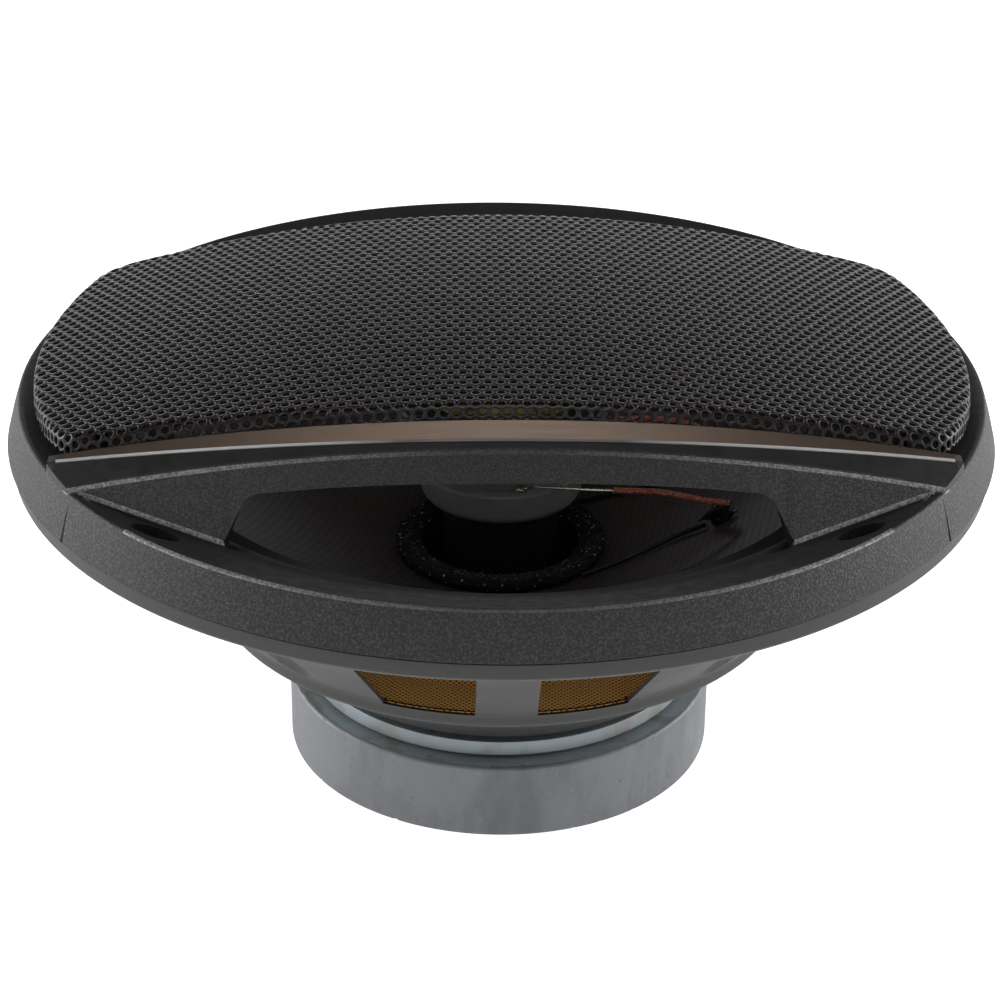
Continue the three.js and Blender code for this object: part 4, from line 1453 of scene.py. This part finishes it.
def tweeter_dome():
    """A smooth dome with a half-roll edge, in thin film."""
    radius, rise, base, sheet = 9.4, 3.6, TWEETER_BASE + 13.9, 0.3
    profile = [(radius * t, base + rise * (1 - t ** 2)) for t in shares(18)]
    for t in shares(10)[1:]:
        out, up = polar(1, math.pi * (1 - t))
        profile.append((radius + 1.15 * (1 + out), base + 0.55 * up - 0.15))
    profile.append((12, base - 0.15))
    outline = profile + [(r, z - sheet) for r, z in reversed(profile)]
    piece("tweeter_dome_film", turned(outline), "amber_film", "tweeter_diaphragm", "tweeter_dome")


def tweeter_guard():
    """Guard ring with three arms and a centre disc over the dome."""
    base = TWEETER_BASE
    made = solid(ring(13.6, 18.2, base + 17.3, base + 18.7, 0.4, 4))
    boolean(made, disc(3, base + 17.9, base + 19.4, 0.5), "UNION")
    bar = fillet([(-0.9, 17.9), (0.9, 17.9), (0.9, 19.2), (-0.9, 19.2)], 0.3, 3)
    for k in range(3):
        along = polar(1, math.pi / 2 + k * TURN / 3)
        side = Vector((-along.y, along.x))
        arm = [[(*(along * out + side * w), base + z) for w, z in bar] for out in (1.0, 14.6)]
        boolean(made, lofted(arm), "UNION")
    finish(made, "tweeter_guard_moulding", "black_plastic", "chassis", ["tweeter_guard"])


# ---------------------------------------------------------------- CAD nodes that stay


def keep_cad_nodes():
    """Small hardware keeps its CAD shape, with softened edges and its own material."""
    kept = {
        "post_screw": "zinc",
        "terminal_board": "fibreboard",
        "positive_terminal": "tinned_wire",
        "negative_terminal": "tinned_wire",
        "positive_rivet": "zinc",
        "negative_rivet": "zinc",
        "crossover_capacitor": "capacitor_sleeve",
    }
    for node, name in kept.items():
        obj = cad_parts[node]
        obj.data.materials.clear()
        obj.data.materials.append(MATERIALS[name])
        bevel = obj.modifiers.new("soft_edges", "BEVEL")
        bevel.width = 0.15 * MM
        bevel.segments = 2
        bevel.limit_method = "ANGLE"
        bevel.angle_limit = math.radians(35)


# ---------------------------------------------------------------- studio


def softbox(name, x, y, z, size, power):
    """A square light at a place from the object's middle, in metres, facing it."""
    light = bpy.data.lights.new(name, "AREA")
    light.energy = power
    light.size = size
    obj = placed(name, light)
    offset = Vector((x, y, z))
    obj.location = (cad_low + cad_high) / 2 + offset
    obj.rotation_mode = "QUATERNION"
    obj.rotation_quaternion = (-offset).to_track_quat("-Z", "Y")


def backdrop():
    """A dim room with a bright band low on the horizon, behind and beside the object."""
    world = bpy.data.worlds.new("studio")
    s = Shader(world, "Background", "Generated")
    _, y, z = s.split()
    band = s.spread(z, 0.18, 0.36, 1.0, 0.0)
    side = s.spread(y, -0.75, 0.1, 0.08, 1.5)
    s.feed(s.surface.inputs["Color"], 1.0)
    s.feed(s.surface.inputs["Strength"], s.maths("MULTIPLY_ADD", band, side, 0.04))
    return world


def floor():
    """A white floor that glows a little, and reads as pure white to the camera."""
    half = 4.0
    mesh = bpy.data.meshes.new("floor")
    mesh.from_pydata([(-half, -half, 0), (half, -half, 0), (half, half, 0), (-half, half, 0)], [],
                     [[0, 1, 2, 3]])
    white = bpy.data.materials.new("floor_white")
    s = Shader(white)
    seen = s.node("ShaderNodeLightPath").outputs["Is Camera Ray"]
    s.paint(0.9, 0.6, Emission_Color=1.0, Emission_Strength=s.spread(seen, 0, 1, 0.5, 0.95))
    mesh.materials.append(white)
    placed("floor", mesh)


def studio():
    scene = bpy.context.scene
    scene.view_settings.view_transform = "Standard"
    scene.world = backdrop()
    floor()
    softbox("overhead_softbox", 0, -0.35, 0.85, 0.5, 2.7)
    softbox("front_softbox", 0, -1.1, 0.3, 0.8, 1.0)
    softbox("left_softbox", -0.9, 0.2, 0.15, 0.7, 6.8)
    softbox("right_softbox", 0.9, 0.2, 0.15, 0.7, 7.5)


def camera():
    """Looks down from the front, a little to one side, with a slight roll."""
    data = bpy.data.cameras.new("camera")
    data.sensor_width = 36
    focal_share = 2.825  # focal length over the picture's width
    data.lens = data.sensor_width * focal_share
    data.clip_start, data.clip_end = 0.01, 20
    obj = placed("camera", data)
    down = math.radians(27.2)
    roll = math.radians(-0.58)
    aside = Matrix.Rotation(math.radians(-1.4), 3, "Z")
    obj.location = aside @ Vector((-0.14, -450.4, 282.1)) * MM
    right = Vector((1, 0, 0))
    up = Vector((0, math.sin(down), math.cos(down)))
    back = Vector((0, -math.cos(down), math.sin(down)))
    x_axis = right * math.cos(roll) - up * math.sin(roll)
    y_axis = right * math.sin(roll) + up * math.cos(roll)
    turn = aside @ Matrix((x_axis, y_axis, back)).transposed()
    obj.rotation_mode = "QUATERNION"
    obj.rotation_quaternion = turn.to_quaternion()
    bpy.context.scene.camera = obj


# ---------------------------------------------------------------- assembly

grille_ring()
grille_mesh()
trim_strips()
basket()
motor()
cone()
felt_ring()
surround()
spider()
wires()
tweeter()
keep_cad_nodes()
studio()
camera()
